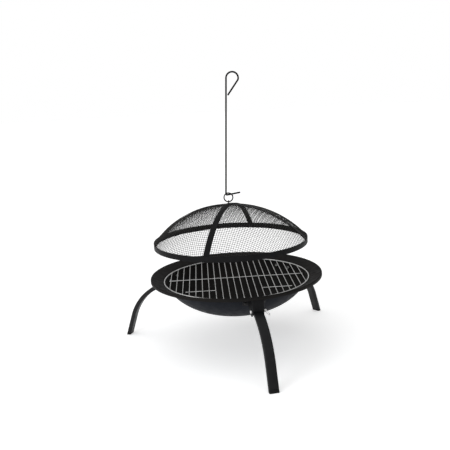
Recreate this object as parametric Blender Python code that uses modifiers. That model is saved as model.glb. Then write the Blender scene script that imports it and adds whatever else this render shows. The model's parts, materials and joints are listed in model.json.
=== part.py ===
"""A portable fire pit: a steel bowl on three folding legs, a wire cooking grate and a domed
mesh lid, lifted clear of the bowl by its ring on the hook of a poker.

Metres, +Z up. The floor is z = 0, the front leg points along -Y, and the origin is the middle
of the object's footprint. The bowl's own axis stands AXIS_Y behind the origin.
"""

import math

import bmesh
import bpy
from mathutils import Matrix, Vector

# Turned sheet and wire
STEPS = 60                      # facets round the bowl, dome and band, 6 degrees each
SHEET = 0.0012
GAP = 0.0003                    # clearance left between two pieces that touch

# Bowl
RIM_RADIUS = 0.2829
RIM_TOP = 0.2417
RIM_LIP = 0.0113                # turned-down outer edge
MOUTH_RADIUS = 0.244
MOUTH_DROP = 0.0155             # the rim slopes down this much to the mouth
LEDGE_DEPTH = 0.0035            # step below the mouth that carries the grate
BOWL_RADIUS = 0.243             # half axes and middle height of the elliptical wall
BOWL_HALF_HEIGHT = 0.150
BOWL_MIDDLE = 0.260
BOWL_FLAT_RADIUS = 0.060

# Grate
GRATE_TURN = math.radians(-9.9)
GRATE_RADIUS = 0.2388
GRATE_RING_WIRE = 0.0040
GRATE_BAR_WIRE = 0.0024
GRATE_BARS = 22
GRATE_PITCH = 0.02068
GRATE_BAR_RISE = 0.0004         # the bars sit this much above the middle of the ring
GRATE_WELD = 0.0006             # depth to which crossing wires are melted together
GRATE_SHORT_PLACE = 0.56        # the two short cross wires' row, as a part of the radius
GRATE_SHORT_SIDE = 5.8          # their middles and length, in pitches of the bars
GRATE_SHORT_LENGTH = 4.5

# Legs, measured in the upright plane of each leg: distance from the bowl's axis, height
LEG_AZIMUTHS = (0.0, math.radians(120.0), math.radians(-120.0))
LEG_WIDTH = 0.030
LEG_DEPTH = 0.014
LEG_WALL = 0.0015
LEG_CORNER = 0.0035
LEG_TOP_SLOPE = math.radians(15.6)
LEG_FOOT_SLOPE = math.radians(71.5)
LEG_BEND_RADIUS = 0.184
LEG_BEND_START = (0.2594, 0.1903)
LEG_TOP_END = 0.0115            # straight length above the bend
LEG_TUBE_FOOT = 0.008           # height of the tube's cut end, at its middle
PIN_PLACE = (0.2580, 0.1907)

# Brackets
BRACKET_WIDTH = 0.036
BRACKET_PLATE = 0.002
BRACKET_WEB_RADIUS = 0.277
BRACKET_WEB_BOTTOM = 0.1932
BRACKET_EAR_RADIUS = 0.016
SADDLE_GAP = 0.0007
SADDLE_TOP = 0.2195
SADDLE_BOTTOM = 0.2000
SADDLE_ARC = 18.0               # degrees round the bowl's axis
WELD_DEPTH = 0.0013             # the ears' back edges, from the bowl's wall at its middle

# Fasteners
BOLT_HEIGHT = 0.2105
BOLT_AZIMUTH = math.radians(7.0)
BOLT_RADIUS = 0.0025
BOLT_HEAD_RADIUS = 0.0048
BOLT_LENGTH = 0.0105
BOLT_HOLE_RADIUS = 0.0031
BOLT_HEAD_GAP = 0.0008          # flat head and nut against curved sheet
NUT_GAP = 0.0011
NUT_RADIUS = 0.0046
NUT_HEIGHT = 0.004
PIN_RADIUS = 0.004
PIN_HEAD_RADIUS = 0.0068
PIN_END = 0.0270                # tip of the pin, from the middle of the leg
RING_HOLE_PLACE = 0.0230
RING_HOLE_RADIUS = 0.0018
SPLIT_RING_RADIUS = 0.0125
SPLIT_RING_WIRE = 0.0018
SPLIT_RING_HOLE_TILT = math.radians(18.0)
SPLIT_RING_HANG = math.radians(48.0)

# Lid, lifted clear of the bowl
HELD_TURN = math.radians(-12.66)
LID_OFFSET = -0.0126
LID_BOTTOM = RIM_TOP + 0.1001
BAND_RADIUS = 0.2517
BAND_HEIGHT = 0.0177
BAND_FLANGE = 0.006
DOME_RADIUS = 0.248
DOME_HEIGHT = 0.1105
DOME_SHEET = 0.0006
DOME_SKIRT = 0.007
STRAP_WIDTH = 0.0195
STRAP_DEPTH = 0.0014
STRAP_AZIMUTH = math.radians(-29.6)
STRAP_STEPS = 9                 # straight pieces on each side, up to the crossing
CROSSING_START = math.radians(2.4)
CROSSING_END = math.radians(6.4)
EYE_RADIUS = 0.0042
EYE_WIRE = 0.0030
EYE_SHANK_RADIUS = 0.002
EYE_HOLE_RADIUS = 0.0027
EYE_SHANK_TIP = 0.0022          # shank left standing below the nut
EYE_NUT_RADIUS = 0.0040
EYE_NUT_HEIGHT = 0.0032
WASHER_RADIUS = 0.0065
WASHER_BORE = 0.0026
WASHER_DEPTH = 0.001
LIFT_RING_RADIUS = 0.0143
LIFT_RING_WIRE = 0.0042

# Poker
POKER_WIRE = 0.0055
POKER_LEAN = math.radians(2.9)
POKER_ROD = 0.312
POKER_BEND = 0.0045
HOOK_REACH = (0.0452, 0.0319, 0.002)
HOOK_BEFORE_RING = 0.0092
HANDLE_RADIUS = 0.019
HANDLE_HEIGHT = 0.058
HANDLE_GAP = 0.0008             # between the loop's end and the rod


def wall_radius(height):
    """Radius of the bowl's underside at a height on its elliptical wall."""
    drop = (BOWL_MIDDLE - height) / BOWL_HALF_HEIGHT
    return BOWL_RADIUS * math.sqrt(1.0 - drop * drop)


def wall_slope(height):
    """Angle of the bowl's wall from upright at a height."""
    step = 0.001
    return math.atan2(wall_radius(height + step) - wall_radius(height - step), 2.0 * step)


MOUTH_HEIGHT = RIM_TOP - MOUTH_DROP - SHEET
LEDGE_HEIGHT = MOUTH_HEIGHT - LEDGE_DEPTH
GRATE_HEIGHT = LEDGE_HEIGHT + SHEET + GAP + GRATE_RING_WIRE / 2.0
BAND_TOP = LID_BOTTOM + BAND_HEIGHT
DOME_SPHERE = (DOME_RADIUS ** 2 + DOME_HEIGHT ** 2) / (2.0 * DOME_HEIGHT)
DOME_MIDDLE = BAND_TOP + DOME_HEIGHT - DOME_SPHERE
STRAP_LIFT = GAP + STRAP_DEPTH / 2.0
STRAP_CROSSING = DOME_MIDDLE + DOME_SPHERE + 2.0 * (GAP + STRAP_DEPTH)
EYE_HEIGHT = STRAP_CROSSING + GAP + EYE_RADIUS + EYE_WIRE / 2.0
RING_PIVOT = EYE_HEIGHT + EYE_RADIUS - EYE_WIRE / 2.0 - LIFT_RING_WIRE / 2.0 - GAP
RING_HEIGHT = RING_PIVOT + LIFT_RING_RADIUS
HOOK_HEIGHT = RING_HEIGHT + LIFT_RING_RADIUS - (LIFT_RING_WIRE + POKER_WIRE) / 2.0 - 2.0 * GAP
LEG_REACH = 0.4157              # outermost point of the front foot, from the bowl's axis
AXIS_Y = (LEG_REACH - RIM_RADIUS) / 2.0


# Scene helpers

def clear_scene():
    for obj in list(bpy.data.objects):
        bpy.data.objects.remove(obj, do_unlink=True)


def new_collection(name):
    collection = bpy.data.collections.new(name)
    bpy.context.scene.collection.children.link(collection)
    return collection


def new_material(name, colour, metallic, roughness):
    material = bpy.data.materials.new(name)
    material.use_nodes = True
    shader = material.node_tree.nodes["Principled BSDF"]
    shader.inputs["Base Color"].default_value = (*colour, 1.0)
    shader.inputs["Metallic"].default_value = metallic
    shader.inputs["Roughness"].default_value = roughness
    material.diffuse_color = (*colour, 1.0)
    return material


def new_empty(name, parent=None, location=(0.0, 0.0, 0.0), rotation=(0.0, 0.0, 0.0)):
    empty = bpy.data.objects.new(name, None)
    parts.objects.link(empty)
    empty.parent = parent
    empty.location = location
    empty.rotation_euler = rotation
    empty.empty_display_size = 0.02
    return empty


def place(obj, parent, material=None, location=(0.0, 0.0, 0.0), rotation=(0.0, 0.0, 0.0)):
    """Puts a part in the object's collection, under its parent, with its material."""
    parts.objects.link(obj)
    obj.parent = parent
    obj.location = location
    obj.rotation_euler = rotation
    if material and not obj.data.materials:
        obj.data.materials.append(material)
    return obj


def place_cutter(obj, parent=None, location=(0.0, 0.0, 0.0), rotation=(0.0, 0.0, 0.0)):
    """Puts a cutter or a guide in the collection that is never rendered."""
    cutters.objects.link(obj)
    obj.parent = parent
    obj.location = location
    obj.rotation_euler = rotation
    obj.hide_render = True
    obj.display_type = "WIRE"
    return obj


def smooth(mesh, angle=40.0):
    mesh.shade_smooth()
    mesh.set_sharp_from_angle(angle=math.radians(angle))


# Shape helpers

def turned(name, profile, steps=STEPS, angle=360.0, thickness=0.0, closed=False):
    """Turns (radius, height) points about Z. An open profile runs down its outer side."""
    mesh = bpy.data.meshes.new(name)
    edges = [(i, i + 1) for i in range(len(profile) - 1)]
    if closed:
        edges.append((len(profile) - 1, 0))
    mesh.from_pydata([(radius, 0.0, height) for radius, height in profile], edges, [])
    obj = bpy.data.objects.new(name, mesh)
    screw = obj.modifiers.new("Turn", "SCREW")
    screw.angle = math.radians(angle)
    screw.steps = steps
    screw.render_steps = steps
    screw.use_merge_vertices = angle >= 360.0
    screw.merge_threshold = 0.00002
    screw.use_smooth_shade = True
    if thickness:
        solidify = obj.modifiers.new("Sheet", "SOLIDIFY")
        solidify.thickness = thickness
        solidify.offset = -1.0
        solidify.use_even_offset = True
    return obj


def bar(name, radius, length, segments=12, bevel=0.0):
    """A round bar along Z, centred on its origin."""
    mesh = bpy.data.meshes.new(name)
    form = bmesh.new()
    bmesh.ops.create_cone(form, cap_ends=True, segments=segments, radius1=radius, radius2=radius,
                          depth=length)
    form.to_mesh(mesh)
    form.free()
    smooth(mesh)
    obj = bpy.data.objects.new(name, mesh)
    if bevel:
        edge = obj.modifiers.new("Edge", "BEVEL")
        edge.width = bevel
        edge.segments = 1
        edge.limit_method = "ANGLE"
        edge.angle_limit = math.radians(60.0)
    return obj


def box(name, size):
    mesh = bpy.data.meshes.new(name)
    form = bmesh.new()
    bmesh.ops.create_cube(form, size=1.0, matrix=Matrix.Diagonal((*size, 1.0)))
    form.to_mesh(mesh)
    form.free()
    return bpy.data.objects.new(name, mesh)


def torus(name, radius, wire, around=36, across=8):
    """A ring of round wire in the XY plane."""
    bpy.ops.mesh.primitive_torus_add(major_segments=around, minor_segments=across,
                                     major_radius=radius, minor_radius=wire / 2.0)
    obj = bpy.context.object
    for collection in list(obj.users_collection):
        collection.objects.unlink(obj)
    obj.name = name
    obj.data.name = name
    obj.data.shade_smooth()
    return obj


def mesh_of(curve_object, name):
    """The curve's evaluated shape as a mesh object with its caps welded. The curve is removed."""
    bpy.context.view_layer.update()
    graph = bpy.context.evaluated_depsgraph_get()
    mesh = bpy.data.meshes.new_from_object(curve_object.evaluated_get(graph))
    form = bmesh.new()
    form.from_mesh(mesh)
    bmesh.ops.remove_doubles(form, verts=form.verts, dist=0.00001)
    bmesh.ops.recalc_face_normals(form, faces=form.faces)
    form.to_mesh(mesh)
    form.free()
    mesh.materials.clear()
    smooth(mesh)
    bpy.data.objects.remove(curve_object, do_unlink=True)
    obj = bpy.data.objects.new(name, mesh)
    return obj


def polyline(name, points, cyclic=False, dimensions="3D"):
    curve = bpy.data.curves.new(name, "CURVE")
    curve.dimensions = dimensions
    spline = curve.splines.new("POLY")
    spline.points.add(len(points) - 1)
    for target, point in zip(spline.points, points):
        target.co = (*point, 1.0)
    spline.use_cyclic_u = cyclic
    return bpy.data.objects.new(name, curve)


def wire(name, points, diameter, cyclic=False, sides=2):
    """A round wire or rod along a line of points, as a mesh."""
    guide = polyline(name + "_guide", points, cyclic)
    guide.data.bevel_depth = diameter / 2.0
    guide.data.bevel_resolution = sides
    guide.data.use_fill_caps = not cyclic
    bpy.context.scene.collection.objects.link(guide)
    return mesh_of(guide, name)


def rounded_section(width, depth, corner, steps=2):
    """Outline of a rounded rectangle, width along X and depth along Y."""
    points = []
    for quarter, (side_x, side_y) in enumerate(((1, 1), (-1, 1), (-1, -1), (1, -1))):
        for step in range(steps + 1):
            angle = math.radians(90.0 * (quarter + step / steps))
            x = side_x * (width / 2.0 - corner) + corner * math.cos(angle)
            y = side_y * (depth / 2.0 - corner) + corner * math.sin(angle)
            points.append((x, y, 0.0))
    return points


def swept(name, points, section, caps):
    """Sweeps a closed section along a line in the XY plane. The section's X lies in that plane."""
    outline = polyline(name + "_section", section, cyclic=True, dimensions="2D")
    outline.data.fill_mode = "NONE"
    guide = polyline(name + "_guide", points)
    guide.data.twist_mode = "Z_UP"
    guide.data.bevel_mode = "OBJECT"
    guide.data.bevel_object = outline
    guide.data.use_fill_caps = caps
    bpy.context.scene.collection.objects.link(guide)
    bpy.context.scene.collection.objects.link(outline)
    obj = mesh_of(guide, name)
    bpy.data.objects.remove(outline, do_unlink=True)
    return obj


def cut(obj, cutter, operation="DIFFERENCE"):
    boolean = obj.modifiers.new(cutter.name[:40], "BOOLEAN")
    boolean.operation = operation
    boolean.object = cutter
    return boolean


def arc(middle, radius, start, end, steps):
    """Points of an arc from one angle to another, both included."""
    points = []
    for step in range(steps + 1):
        angle = start + (end - start) * step / steps
        points.append((middle[0] + radius * math.cos(angle), middle[1] + radius * math.sin(angle)))
    return points


# Bowl and grate

def bowl_profile():
    """Underside of the pressed sheet: lip, sloping rim, mouth, ledge, wall, flat bottom."""
    edge = RIM_RADIUS - SHEET
    top = RIM_TOP - SHEET
    profile = [(edge, top - RIM_LIP + SHEET), (edge, top - SHEET), (edge - SHEET, top)]
    profile.append((MOUTH_RADIUS, MOUTH_HEIGHT))
    profile.append((MOUTH_RADIUS - 0.0004, LEDGE_HEIGHT))
    wall_top = LEDGE_HEIGHT - SHEET
    profile.append((wall_radius(wall_top) + SHEET, LEDGE_HEIGHT))
    start = math.asin((BOWL_MIDDLE - wall_top) / BOWL_HALF_HEIGHT)
    end = math.acos(BOWL_FLAT_RADIUS / BOWL_RADIUS)
    wall_steps = 8
    for step in range(wall_steps + 1):
        angle = start + (end - start) * step / wall_steps
        profile.append((BOWL_RADIUS * math.cos(angle),
                        BOWL_MIDDLE - BOWL_HALF_HEIGHT * math.sin(angle)))
    profile.append((0.0, profile[-1][1]))
    return profile


def make_bowl():
    bowl = turned("fire_bowl", bowl_profile(), thickness=SHEET)
    return place(bowl, pit, paint)


def grate_wire(name, length, diameter, across, along, height, crossing):
    """One straight wire of the grate. A crossing wire lies at right angles to the bars."""
    rod = bar(name, diameter / 2.0, length, segments=6)
    rotation = (0.0, math.radians(90.0), 0.0) if crossing else (math.radians(90.0), 0.0, 0.0)
    return place_cutter(rod, grate_frame, (across, along, height), rotation)


def make_grate():
    """A ring with its bars, one full cross wire and two short ones, all welded to one body."""
    grate = torus("cooking_grate", GRATE_RADIUS, GRATE_RING_WIRE, around=STEPS, across=6)
    wires = bpy.data.collections.new("grate_wires")
    cutters.children.link(wires)
    middle = (GRATE_BARS - 1) / 2.0
    under_bars = GRATE_BAR_RISE - (GRATE_BAR_WIRE - GRATE_WELD)
    made = []
    for index in range(GRATE_BARS):
        across = (index - middle) * GRATE_PITCH
        length = 2.0 * math.sqrt(GRATE_RADIUS ** 2 - across ** 2)
        made.append(grate_wire(f"grate_bar_{index + 1}", length, GRATE_BAR_WIRE, across, 0.0,
                               GRATE_BAR_RISE, False))
    reach = 2.0 * (middle * GRATE_PITCH + 0.004)
    made.append(grate_wire("grate_cross", reach, GRATE_BAR_WIRE, 0.0, 0.0, under_bars, True))
    for side in (-1.0, 1.0):
        made.append(grate_wire(f"grate_short_{'left' if side < 0.0 else 'right'}",
                               GRATE_SHORT_LENGTH * GRATE_PITCH, GRATE_BAR_WIRE,
                               side * GRATE_SHORT_SIDE * GRATE_PITCH,
                               -GRATE_SHORT_PLACE * GRATE_RADIUS, under_bars, True))
    for rod in made:
        cutters.objects.unlink(rod)
        wires.objects.link(rod)
    weld = grate.modifiers.new("Weld", "BOOLEAN")
    weld.operation = "UNION"
    weld.operand_type = "COLLECTION"
    weld.collection = wires
    return place(grate, grate_frame, steel)


# Brackets, pins and legs, in a station's frame: X tangential, -Y outwards, Z up

def saddle(name, station):
    """The bracket's back plate, curved to lie on the bowl's wall."""
    rows = 3
    profile = []
    for row in range(rows + 1):
        height = SADDLE_TOP + (SADDLE_BOTTOM - SADDLE_TOP) * row / rows
        slope = wall_slope(height)
        lift = SADDLE_GAP + BRACKET_PLATE
        profile.append((wall_radius(height) + lift * math.cos(slope), height - lift * math.sin(slope)))
    plate = turned(name, profile, steps=3, angle=SADDLE_ARC, thickness=BRACKET_PLATE)
    turn = math.radians(-90.0 - SADDLE_ARC / 2.0)
    return place_cutter(plate, station, rotation=(0.0, 0.0, turn))


def ear_outline():
    """Side view of the bracket, as (distance outwards, height) points."""
    pin_y, pin_z = PIN_PLACE
    web = BRACKET_WEB_RADIUS
    high = SADDLE_TOP - 0.0005
    low = SADDLE_BOTTOM + 0.001
    points = [(web, 0.2350), (0.2500, 0.2222), (wall_radius(high) + WELD_DEPTH, high)]
    points.append((wall_radius(low) + WELD_DEPTH, low))
    points += arc((pin_y, pin_z), BRACKET_EAR_RADIUS, math.radians(190.0), math.radians(340.0), 8)
    points.append((web, BRACKET_WEB_BOTTOM))
    return points


def flat_plate(name, outline, thickness):
    """A flat outline in the XY plane, given the thickness along Z."""
    guide = polyline(name + "_guide", [(x, y, 0.0) for x, y in outline], True, "2D")
    guide.data.fill_mode = "BOTH"
    guide.data.extrude = thickness / 2.0
    bpy.context.scene.collection.objects.link(guide)
    return mesh_of(guide, name)


# Turns X outwards, Y up and Z along the tangent, for outlines drawn in a leg's upright plane.
UPRIGHT = (math.radians(90.0), 0.0, math.radians(-90.0))


def make_bracket(number, station):
    """A channel of two ears and a web, welded to a saddle plate."""
    tag = f"bracket_{number}"
    bracket = flat_plate(tag, ear_outline(), BRACKET_WIDTH)
    hollow_outline = [(BRACKET_WEB_RADIUS - BRACKET_PLATE, 0.30), (0.15, 0.30), (0.15, 0.10),
                      (BRACKET_WEB_RADIUS - BRACKET_PLATE, 0.10)]
    inner = BRACKET_WIDTH - 2.0 * BRACKET_PLATE
    hollow = place_cutter(flat_plate(tag + "_hollow", hollow_outline, inner), station,
                          rotation=UPRIGHT)
    below_web = box(tag + "_below_web", (inner, 0.02, 0.04))
    place_cutter(below_web, station, (0.0, -BRACKET_WEB_RADIUS, BRACKET_WEB_BOTTOM - 0.02))
    pin_hole = bar(tag + "_pin_hole", PIN_RADIUS + 2.0 * GAP, 0.08, segments=16)
    place_cutter(pin_hole, station, (0.0, -PIN_PLACE[0], PIN_PLACE[1]), (0.0, math.radians(90.0), 0.0))
    place(bracket, station, black, rotation=UPRIGHT)
    cut(bracket, hollow)
    cut(bracket, below_web)
    cut(bracket, saddle(tag + "_saddle", station), "UNION")
    cut(bracket, pin_hole)
    return bracket


def pin_profile():
    """Clevis pin along Z: shank tip up, domed head down."""
    ear = BRACKET_WIDTH / 2.0 + GAP
    return [(0.0, PIN_END), (PIN_RADIUS - 0.001, PIN_END), (PIN_RADIUS, PIN_END - 0.001),
            (PIN_RADIUS, -ear), (PIN_HEAD_RADIUS, -ear), (PIN_HEAD_RADIUS, -ear - 0.0018),
            (PIN_HEAD_RADIUS * 0.75, -ear - 0.0030), (0.0, -ear - 0.0034)]


def make_pin(number, station):
    """The leg's hinge pin, cross drilled near its tip for the split ring."""
    pin = turned(f"clevis_pin_{number}", pin_profile(), steps=16)
    place(pin, station, bright, (0.0, -PIN_PLACE[0], PIN_PLACE[1]), (0.0, math.radians(90.0), 0.0))
    hole = bar(f"clevis_pin_{number}_hole", RING_HOLE_RADIUS, 4.0 * PIN_RADIUS, segments=10)
    tilt = math.radians(90.0) + SPLIT_RING_HOLE_TILT
    place_cutter(hole, station, (RING_HOLE_PLACE, -PIN_PLACE[0], PIN_PLACE[1]), (tilt, 0.0, 0.0))
    cut(pin, hole)
    return pin


def make_split_ring(number, station):
    """A wire ring through the pin's cross hole. Its frame's Y lies along that hole."""
    tilt = SPLIT_RING_HOLE_TILT
    frame = new_empty(f"split_ring_hinge_{number}", station,
                      (RING_HOLE_PLACE, -PIN_PLACE[0], PIN_PLACE[1]), (tilt, 0.0, 0.0))
    ring = torus(f"split_ring_{number}", SPLIT_RING_RADIUS, SPLIT_RING_WIRE, 20, 6)
    centre = SPLIT_RING_RADIUS - 0.0003
    place(ring, frame, bright,
          (centre * math.cos(SPLIT_RING_HANG), 0.0, -centre * math.sin(SPLIT_RING_HANG)),
          (0.0, SPLIT_RING_HANG, 0.0))
    return ring


def leg_line(foot_height):
    """Middle line of a leg from its top end down to a height, from the pin: (outwards, up)."""
    start_y, start_z = LEG_BEND_START
    back = (-math.cos(LEG_TOP_SLOPE), math.sin(LEG_TOP_SLOPE))
    points = [(start_y + back[0] * LEG_TOP_END, start_z + back[1] * LEG_TOP_END)]
    middle = (start_y - LEG_BEND_RADIUS * math.sin(LEG_TOP_SLOPE),
              start_z - LEG_BEND_RADIUS * math.cos(LEG_TOP_SLOPE))
    quarter = math.radians(90.0)
    points += arc(middle, LEG_BEND_RADIUS, quarter - LEG_TOP_SLOPE, quarter - LEG_FOOT_SLOPE, 11)
    last_y, last_z = points[-1]
    run = (last_z - foot_height) / math.tan(LEG_FOOT_SLOPE)
    points.append((last_y + run, foot_height))
    return [(y - PIN_PLACE[0], z - PIN_PLACE[1], 0.0) for y, z in points]


def make_leg():
    """A bent flat-oval tube, open at both ends, with the pin hole through its top end."""
    section = rounded_section(LEG_DEPTH, LEG_WIDTH, LEG_CORNER)
    leg = swept("leg_tube_1", leg_line(LEG_TUBE_FOOT), section, False)
    wall = leg.modifiers.new("Wall", "SOLIDIFY")
    wall.thickness = LEG_WALL
    wall.offset = -1.0
    return leg


def make_foot_cap():
    """A plug flush with the tube, cut level with the floor, on a stub that fills the tube."""
    line = leg_line(LEG_TUBE_FOOT)
    end = Vector(line[-1])
    along = (end - Vector(line[-2])).normalized()
    section = rounded_section(LEG_DEPTH, LEG_WIDTH, LEG_CORNER)
    below = [end + along * GAP, end + along * 0.02]
    cap = swept("foot_cap_1", [tuple(point) for point in below], section, True)
    spare = 2.0 * (LEG_WALL + GAP)
    stub_section = rounded_section(LEG_DEPTH - spare, LEG_WIDTH - spare, LEG_CORNER - LEG_WALL)
    inside = [end - along * 0.015, end + along * 0.003]
    stub = swept("foot_cap_stub", [tuple(point) for point in inside], stub_section, True)
    return cap, stub


def make_legs(stations):
    leg = make_leg()
    cap, stub = make_foot_cap()
    for number, station in enumerate(stations, 1):
        hinge = new_empty(f"leg_hinge_{number}", station, (0.0, -PIN_PLACE[0], PIN_PLACE[1]))
        tube = leg if number == 1 else bpy.data.objects.new(f"leg_tube_{number}", leg.data)
        if number > 1:
            wall = tube.modifiers.new("Wall", "SOLIDIFY")
            wall.thickness = LEG_WALL
            wall.offset = -1.0
        place(tube, hinge, black, rotation=UPRIGHT)
        bore = bar(f"leg_bore_{number}", PIN_RADIUS + 0.0005, 0.06, segments=16)
        place_cutter(bore, hinge, rotation=(0.0, math.radians(90.0), 0.0))
        cut(tube, bore)
        foot = cap if number == 1 else bpy.data.objects.new(f"foot_cap_{number}", cap.data)
        place(foot, hinge, plastic, rotation=UPRIGHT)
        plug = stub if number == 1 else bpy.data.objects.new(f"foot_cap_stub_{number}", stub.data)
        place_cutter(plug, hinge, rotation=UPRIGHT)
        floor = box(f"floor_cutter_{number}", (0.1, 0.1, 0.05))
        place_cutter(floor, hinge, (0.0, -(LEG_REACH - PIN_PLACE[0]), -PIN_PLACE[1] - 0.025))
        cut(foot, plug, "UNION")
        cut(foot, floor)


# Bracket bolts and nuts

def bolt_profile():
    """Pan-headed bolt along Z, its head above z = 0."""
    return [(0.0, 0.0030), (BOLT_HEAD_RADIUS * 0.70, 0.0026), (BOLT_HEAD_RADIUS, 0.0012),
            (BOLT_HEAD_RADIUS, 0.0), (BOLT_RADIUS, 0.0), (BOLT_RADIUS, -BOLT_LENGTH),
            (0.0, -BOLT_LENGTH)]


def hex_nut(name, radius, height, hole):
    """A hexagon nut standing on z = 0."""
    nut = bar(name, radius, height, segments=6)
    bore = place_cutter(bar(name + "_bore", hole, height * 3.0, segments=12), nut)
    cut(nut, bore)
    return nut


def make_bolts(bowl, bracket, number, station):
    """Two bolts through the saddle plate and the bowl's wall, with their nuts inside the bowl."""
    slope = wall_slope(BOLT_HEIGHT)
    radius = wall_radius(BOLT_HEIGHT)
    outside = SADDLE_GAP + BRACKET_PLATE + BOLT_HEAD_GAP
    inside = SHEET + NUT_GAP
    for side, turn in (("left", -BOLT_AZIMUTH), ("right", BOLT_AZIMUTH)):
        tag = f"{number}_{side}"
        seat = new_empty(f"bolt_seat_{tag}", station, rotation=(0.0, 0.0, turn))
        frame = new_empty(f"bolt_frame_{tag}", seat, (0.0, -radius, BOLT_HEIGHT),
                          (math.radians(90.0) + slope, 0.0, 0.0))
        bolt = turned(f"bracket_bolt_{tag}", bolt_profile(), steps=10)
        place(bolt, frame, bolt_black, (0.0, 0.0, outside))
        hole = bar(f"bolt_hole_{tag}", BOLT_HOLE_RADIUS, 0.03, segments=12)
        place_cutter(hole, frame)
        cut(bowl, hole)
        cut(bracket, hole)
        nut = hex_nut(f"bracket_nut_{tag}", NUT_RADIUS, NUT_HEIGHT, BOLT_RADIUS + GAP)
        place(nut, frame, zinc, (0.0, 0.0, -inside - NUT_HEIGHT / 2.0))


# Lid

def make_band():
    """Hoop round the dome's edge, with its lower edge turned in."""
    flange = BAND_RADIUS - BAND_FLANGE
    profile = [(flange, LID_BOTTOM), (BAND_RADIUS - 0.001, LID_BOTTOM),
               (BAND_RADIUS, LID_BOTTOM + 0.001), (BAND_RADIUS, BAND_TOP)]
    profile.reverse()
    return place(turned("lid_band", profile, thickness=SHEET), lid, satin)


def make_dome():
    """The mesh dome as a thin shell, with a short skirt inside the hoop."""
    half_angle = math.asin(DOME_RADIUS / DOME_SPHERE)
    first = math.asin(EYE_HOLE_RADIUS / DOME_SPHERE)
    rows = 6
    profile = []
    for row in range(rows + 1):
        angle = first + (half_angle - first) * row / rows
        profile.append((DOME_SPHERE * math.sin(angle), DOME_MIDDLE + DOME_SPHERE * math.cos(angle)))
    profile.append((DOME_RADIUS, BAND_TOP - DOME_SKIRT))
    return place(turned("mesh_dome", profile, thickness=DOME_SHEET), lid, mesh_grey)


def strap_line(hump):
    """Middle line of a strap over the dome, seen from the side, raised by the hump at the top."""
    half_angle = math.asin(DOME_RADIUS / DOME_SPHERE)
    side = []
    for step in range(STRAP_STEPS + 1):
        side.append((half_angle + (CROSSING_END - half_angle) * step / STRAP_STEPS, 0.0))
    for rise in (0.3, 0.7, 1.0):
        side.append((CROSSING_END + (CROSSING_START - CROSSING_END) * rise, hump * rise))
    foot = DOME_RADIUS + STRAP_LIFT
    half = [(foot, BAND_TOP - DOME_SKIRT, 0.0)]
    for angle, lift in side:
        radius = DOME_SPHERE + STRAP_LIFT + lift
        half.append((radius * math.sin(angle), DOME_MIDDLE + radius * math.cos(angle), 0.0))
    return [(-x, z, 0.0) for x, z, _ in half] + half[::-1]


def make_strap(name, azimuth, hump):
    section = rounded_section(STRAP_DEPTH, STRAP_WIDTH, 0.0003, steps=1)
    strap = swept(name, strap_line(hump), section, True)
    place(strap, lid, satin, rotation=(math.radians(90.0), 0.0, azimuth + math.radians(90.0)))
    cut(strap, eye_hole)
    return strap


def make_eye_bolt():
    """Eye on top of the straps, its shank through straps and dome to a washer and nut."""
    eye = torus("eye_bolt", EYE_RADIUS, EYE_WIRE, 24, 8)
    place(eye, held, black, (0.0, 0.0, EYE_HEIGHT), (0.0, math.radians(90.0), 0.0))
    top = EYE_HEIGHT - EYE_RADIUS
    washer_top = DOME_MIDDLE + DOME_SPHERE - DOME_SHEET - 2.0 * GAP
    nut_top = washer_top - WASHER_DEPTH - GAP
    bottom = nut_top - EYE_NUT_HEIGHT - EYE_SHANK_TIP
    shank = bar("eye_bolt_shank", EYE_SHANK_RADIUS, top - bottom, segments=14)
    cut(eye, place_cutter(shank, held, (0.0, 0.0, (top + bottom) / 2.0)), "UNION")
    ring = [(WASHER_BORE, 0.0), (WASHER_BORE, WASHER_DEPTH), (WASHER_RADIUS, WASHER_DEPTH),
            (WASHER_RADIUS, 0.0)]
    washer = turned("eye_washer", ring, steps=20, closed=True)
    place(washer, held, zinc, (0.0, 0.0, washer_top - WASHER_DEPTH))
    nut = hex_nut("eye_nut", EYE_NUT_RADIUS, EYE_NUT_HEIGHT, EYE_SHANK_RADIUS + GAP)
    place(nut, held, zinc, (0.0, 0.0, nut_top - EYE_NUT_HEIGHT / 2.0))


def make_lift_ring():
    """Ring through the eye, upright, facing along Y in the held frame."""
    pivot = new_empty("lift_ring_hinge", held, (0.0, 0.0, RING_PIVOT))
    ring = torus("lift_ring", LIFT_RING_RADIUS, LIFT_RING_WIRE, 32, 8)
    place(ring, pivot, black, (0.0, 0.0, LIFT_RING_RADIUS), (math.radians(90.0), 0.0, 0.0))


def bend(corner, before, after, radius, steps=6):
    """Points of a round bend at a corner between two directions."""
    turn = before.angle(after)
    reach = radius * math.tan(turn / 2.0)
    start = corner - before * reach
    inward = (after - before * before.dot(after)).normalized()
    points = []
    for step in range(steps + 1):
        angle = turn * step / steps
        points.append(start + before * (radius * math.sin(angle))
                      + inward * (radius * (1.0 - math.cos(angle))))
    return points


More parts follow.
